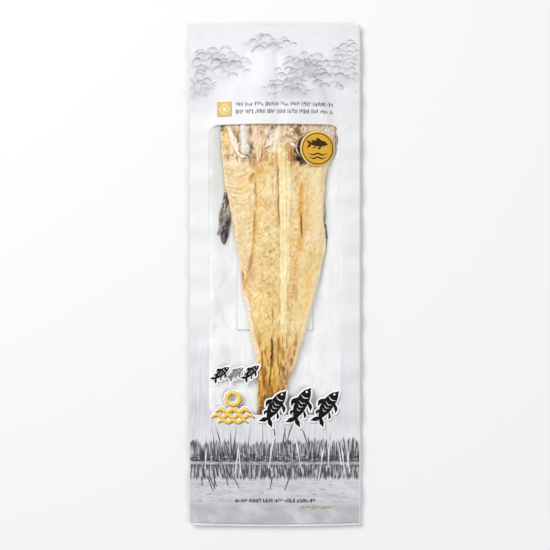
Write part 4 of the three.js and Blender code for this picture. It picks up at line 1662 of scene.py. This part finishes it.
def build_cloud_lines():
    """Brush lines of the printed clouds, drawn thin, thick and thin again, in three greys."""
    draw = np.random.default_rng(613)
    shades = {"soft": (176, 178, 184), "middle": (142, 144, 151), "dark": (104, 106, 113)}
    inks = {kind: [] for kind in shades}
    for route in puff_outlines():
        chance = draw.uniform() + 0.002 * abs(route[3, 0])
        width = draw.uniform(0.3, 0.9)
        kind = "soft" if chance < 0.6 else "middle" if chance < 0.9 else "dark"
        inks[kind].append((route, [0.1, width, 0.7 * width, 0.1]))
    for kind, shade in shades.items():
        lines = brushed(inks[kind], 0.06 * MM, **THIN)
        add_marks("cloud_lines_" + kind, lines, ink_finish("cloud_ink_" + kind, shade), "print_ink")


REED_FOOT, MIRRORED_TIPS = -217, -236  # heights on the print (mm)


def build_reed_stalks():
    """Single tall reeds that stand out of the printed reed bed. Every third one is pale and also runs
    down into the water, and a few dark reflections hang below the mirrored bed."""
    draw = np.random.default_rng(611)
    dark, pale = [], []
    for k in range(34):
        x = draw.uniform(-96, 95)
        base = REED_FOOT + draw.uniform(-3, 3)
        height = draw.uniform(16, 38) if k % 3 else draw.uniform(36, 52)
        lean = draw.uniform(-0.3, 0.3)
        bend = (x + lean * height * 0.35, base + height * 0.5)
        route = [(x, base), bend, (x + lean * height, base + height)]
        widths = np.array([1.0, 0.8, 0.2] if k % 2 else [0.8, 0.6, 1.5, 0.2])
        if k % 3 == 2:
            drop = draw.uniform(4, 24)
            pale.append(([(x - lean * drop, base - drop)] + route, 1.5 * widths))
        else:
            dark.append((route, widths))
    for k in range(9):
        x = draw.uniform(-92, 92)
        drop, lean = draw.uniform(10, 22), draw.uniform(-0.5, 0.5)
        dark.append(([(x, MIRRORED_TIPS), (x + lean * drop, MIRRORED_TIPS - drop)], [1.5, 1.0]))
    dark_ink = ink_finish("reed_ink", (92, 94, 102))
    pale_ink = ink_finish("pale_reed_ink", (228, 229, 233))
    add_marks("reed_stalks", brushed(dark, 0.06 * MM, **THIN), dark_ink, "print_ink")
    add_marks("pale_reeds", brushed(pale, 0.12 * MM, **THIN), pale_ink, "pack_print")


# ------------------------------ stage


FLOOR_HALF, FLOOR_DROP = 3.0, 0.2 * MM  # half the floor's side, and how far it lies below z = 0
FIELD = 643.3 * MM  # what the camera sees across, at the height of the pack's face
FACE_HEIGHT = 8 * MM
CAMERA_X, CAMERA_Y = -0.2 * MM, 0.6 * MM  # the place that it looks straight down on


def aim(place_at):
    """The turn that points a lamp, which looks down its own -Z, at the pack's middle."""
    x, y, z = place_at
    return (np.arctan2(np.hypot(x, y), z), 0.0, np.arctan2(x, -y))


def build_floor(stage):
    """The pale table that the pack lies on."""
    floor = bpy.data.meshes.new("floor")
    corners = FLOOR_HALF * np.array([(-1, -1, 0), (1, -1, 0), (1, 1, 0), (-1, 1, 0)]) - (0, 0, FLOOR_DROP)
    floor.from_pydata(corners.tolist(), [], [(0, 1, 2, 3)])
    finish, _, shader = new_material("pale_floor", 0.9, 0.1)
    shader.inputs["Base Color"].default_value = rgba(screen(stage.floor_colour))
    floor.materials.append(finish)
    add_to_scene("floor", floor)


def build_lights(stage):
    """Three square lamps, each aimed at the pack's middle, and the light of the room."""
    for name, place_at, size, power in (
        ("key", (-1.9, 1.7, 2.1), 1.7, stage.key_power),
        ("fill", (1.9, -1.2, 2.3), 2.2, stage.fill_power),
        ("glint", (-0.55, 0.75, 2.0), 0.5, stage.glint_power),
    ):
        lamp = bpy.data.lights.new(name, "AREA")
        lamp.shape, lamp.size, lamp.energy = "SQUARE", size, power
        holder = add_to_scene(name, lamp)
        holder.location = place_at
        holder.rotation_euler = aim(place_at)
    world = bpy.data.worlds.new("soft_room")
    world.use_nodes = True
    background = world.node_tree.nodes["Background"]
    background.inputs["Color"].default_value = (1, 1, 1, 1)
    background.inputs["Strength"].default_value = stage.room_light
    bpy.context.scene.world = world
    bpy.context.scene.view_settings.view_transform = "Standard"


def build_camera(stage):
    """The camera, straight above the pack."""
    lens = bpy.data.cameras.new("camera")
    lens.lens, lens.sensor_width = stage.lens, 36.0
    camera = add_to_scene("camera", lens)
    camera.location = (CAMERA_X, CAMERA_Y, FIELD * stage.lens / lens.sensor_width + FACE_HEIGHT)
    bpy.context.scene.camera = camera


# ------------------------------ the add-on


def a_colour(name, description, shade):
    """A colour setting, with its default as seen on a screen, 0 to 255."""
    return bpy.props.FloatVectorProperty(
        name=name,
        description=description,
        default=[c / 255 for c in shade],
        subtype="COLOR_GAMMA",
        min=0,
        max=1,
    )


def a_length(name, description, millimetres):
    """A setting for a size or a place."""
    return bpy.props.FloatProperty(
        name=name, description=description, default=millimetres * MM, unit="LENGTH", precision=4
    )


def a_number(name, description, default, unit="NONE"):
    """A setting that is a power or a plain number."""
    return bpy.props.FloatProperty(name=name, description=description, default=default, unit=unit)


class FishSettings(bpy.types.PropertyGroup):
    """The fish's colours and relief."""

    flap_colour: a_colour("Flap", "Colour of the two outer belly flaps", (247, 220, 167))
    back_colour: a_colour("Back", "Colour of the two thick back muscles", (249, 218, 155))
    strip_colour: a_colour("Strip", "Colour of the pale strip beside the middle groove", (254, 239, 190))
    tail_colour: a_colour("Tail", "Colour of the flesh towards the tail", (226, 176, 86))
    fin_colour: a_colour("Fins", "Colour of the dried fins", (124, 112, 108))
    bone_colour: a_colour("Bones", "Colour of the collar's knob, which the other bones follow", KNOB_COLOUR)
    relief: a_number("Relief", "Depth of the grooves and the grain, 1 as built", 1.0)
    gap: a_length("Gap", "Space between the film and the highest flesh", 0.8)


class PackSettings(bpy.types.PropertyGroup):
    """The pack's sizes, places and colours."""

    window_left: a_length("Window left", "Left edge of the clear window", -78)
    window_right: a_length("Window right", "Right edge of the clear window", 76.4)
    window_bottom: a_length("Window bottom", "Lower edge of the clear window", -163.2)
    window_top: a_length("Window top", "Upper edge of the clear window", 176)
    window_corner: a_length("Window corner", "Radius of the window's corners", 12.9)
    card_left: a_length("Card left", "Left edge of the card behind the fish", -45.1)
    card_right: a_length("Card right", "Right edge of the card behind the fish", 44.6)
    card_bottom: a_length("Card bottom", "Lower edge of the card behind the fish", -64.3)
    card_top: a_length("Card top", "Upper edge of the card behind the fish", 78)
    card_thickness: a_length("Card thickness", "Thickness of the card behind the fish", 0.3)
    badge_x: a_length("Badge across", "Place of the round badge across the pack", 49.5)
    badge_y: a_length("Badge up", "Place of the round badge along the pack", 147.8)
    badge_radius: a_length("Badge radius", "Radius of the badge's gold disc", 19.3)
    print_thickness: a_length("Print thickness", "Thickness of the printed film", 0.12)
    clear_thickness: a_length("Window thickness", "Thickness of the window's clear film", 0.06)
    back_thickness: a_length("Back thickness", "Thickness of the white back film", 0.14)
    gloss_roughness: a_number("Gloss roughness", "Roughness of the clear film, 0 like a mirror", 0.16)
    paper_colour: a_colour("Paper", "Ground colour of the print", (234, 234, 236))
    reed_colour: a_colour("Reeds", "Colour of the printed reed bed", (44, 46, 52))
    ink_colour: a_colour("Ink", "Colour of the black brush marks", (14, 12, 13))
    grey_ink_colour: a_colour("Grey ink", "Colour of the grey brush mark", (128, 128, 131))
    gold_colour: a_colour("Gold", "Colour of the gold brush marks", (232, 184, 66))
    badge_colour: a_colour("Badge", "Colour of the badge's disc", (217, 166, 40))
    back_colour: a_colour("Back film", "Colour of the white back film", (247, 248, 249))
    card_colour: a_colour("Card", "Colour of the card behind the fish", (245, 246, 246))


class StageSettings(bpy.types.PropertyGroup):
    """Light and camera."""

    key_power: a_number("Key lamp", "Power of the soft lamp at the upper left", 78.0, "POWER")
    fill_power: a_number("Fill lamp", "Power of the soft lamp at the lower right", 36.0, "POWER")
    glint_power: a_number("Glint lamp", "Power of the lamp that the film mirrors", 4.0, "POWER")
    room_light: a_number("Room light", "Brightness of the room all round", 0.36)
    lens: a_number("Lens", "Focal length in millimetres", 85.0)
    floor_colour: a_colour("Floor", "Colour of the table", (240, 240, 240))


SETTINGS = {"pollock_fish": FishSettings, "pollock_pack": PackSettings, "pollock_stage": StageSettings}


class PACK_OT_stage(bpy.types.Operator):
    """Add the floor, the lamps and the camera"""

    bl_idname = "pollock_pack.stage"
    bl_label = "Stage"

    def execute(self, context):
        build_floor(context.scene.pollock_stage)
        build_lights(context.scene.pollock_stage)
        build_camera(context.scene.pollock_stage)
        return {"FINISHED"}


class PACK_OT_back(bpy.types.Operator):
    """Add the white back film"""

    bl_idname = "pollock_pack.back"
    bl_label = "Back film"

    def execute(self, context):
        build_back(context.scene.pollock_pack)
        return {"FINISHED"}


class PACK_OT_card(bpy.types.Operator):
    """Add the white card behind the fish"""

    bl_idname = "pollock_pack.card"
    bl_label = "Card"

    def execute(self, context):
        build_card(context.scene.pollock_pack)
        return {"FINISHED"}


class PACK_OT_flesh(bpy.types.Operator):
    """Add the split and dried fish"""

    bl_idname = "pollock_pack.flesh"
    bl_label = "Fish"

    def execute(self, context):
        build_flesh(context.scene.pollock_fish)
        return {"FINISHED"}


class PACK_OT_fins(bpy.types.Operator):
    """Add the dried fins and what is left of the tail"""

    bl_idname = "pollock_pack.fins"
    bl_label = "Fins and tail"

    def execute(self, context):
        build_fins(context.scene.pollock_fish)
        build_tail(context.scene.pollock_fish)
        return {"FINISHED"}


class PACK_OT_bones(bpy.types.Operator):
    """Add the bones and gristle at the collar"""

    bl_idname = "pollock_pack.bones"
    bl_label = "Collar bones"

    def execute(self, context):
        build_bones(context.scene.pollock_fish)
        return {"FINISHED"}


class PACK_OT_films(bpy.types.Operator):
    """Add the clear window film and the printed film"""

    bl_idname = "pollock_pack.films"
    bl_label = "Front films"

    def execute(self, context):
        build_window(context.scene.pollock_pack)
        build_print(context.scene.pollock_pack)
        return {"FINISHED"}


class PACK_OT_ink_marks(bpy.types.Operator):
    """Add the printed black and grey fish"""

    bl_idname = "pollock_pack.ink_marks"
    bl_label = "Ink fish"

    def execute(self, context):
        build_ink_marks(context.scene.pollock_pack)
        return {"FINISHED"}


class PACK_OT_gold_marks(bpy.types.Operator):
    """Add the gold sun and waves, the round badge and the small stamp"""

    bl_idname = "pollock_pack.gold_marks"
    bl_label = "Gold marks"

    def execute(self, context):
        build_gold_marks(context.scene.pollock_pack)
        build_badge(context.scene.pollock_pack)
        build_stamp()
        return {"FINISHED"}


class PACK_OT_ticks(bpy.types.Operator):
    """Add the rows of fine ticks"""

    bl_idname = "pollock_pack.ticks"
    bl_label = "Ticks"

    def execute(self, context):
        build_ticks()
        return {"FINISHED"}


class PACK_OT_scenery(bpy.types.Operator):
    """Add the printed clouds' brush lines and the tall reeds"""

    bl_idname = "pollock_pack.scenery"
    bl_label = "Clouds and reeds"

    def execute(self, context):
        build_cloud_lines()
        build_reed_stalks()
        return {"FINISHED"}


OPERATORS = (
    PACK_OT_stage,
    PACK_OT_back,
    PACK_OT_card,
    PACK_OT_flesh,
    PACK_OT_fins,
    PACK_OT_bones,
    PACK_OT_films,
    PACK_OT_ink_marks,
    PACK_OT_gold_marks,
    PACK_OT_ticks,
    PACK_OT_scenery,
)


class PACK_PT_panel(bpy.types.Panel):
    """Lists the pack's pieces and settings"""

    bl_label = "Dried pollock"
    bl_idname = "PACK_PT_panel"
    bl_space_type = "VIEW_3D"
    bl_region_type = "UI"
    bl_category = "Dried pollock"

    def draw(self, context):
        for kind in OPERATORS:
            self.layout.operator(kind.bl_idname)
        for key, group in SETTINGS.items():
            for name in group.__annotations__:
                self.layout.prop(getattr(context.scene, key), name)


CLASSES = (*SETTINGS.values(), *OPERATORS, PACK_PT_panel)


def register():
    """Adds the classes, and the settings to the scene."""
    for kind in CLASSES:
        bpy.utils.register_class(kind)
    for key, group in SETTINGS.items():
        setattr(bpy.types.Scene, key, bpy.props.PointerProperty(type=group))


def unregister():
    """Takes away what register added."""
    for key in SETTINGS:
        delattr(bpy.types.Scene, key)
    for kind in reversed(CLASSES):
        bpy.utils.unregister_class(kind)


def main():
    register()
    for kind in OPERATORS:
        group, name = kind.bl_idname.split(".")
        getattr(getattr(bpy.ops, group), name)()


if __name__ == "__main__":
    main()
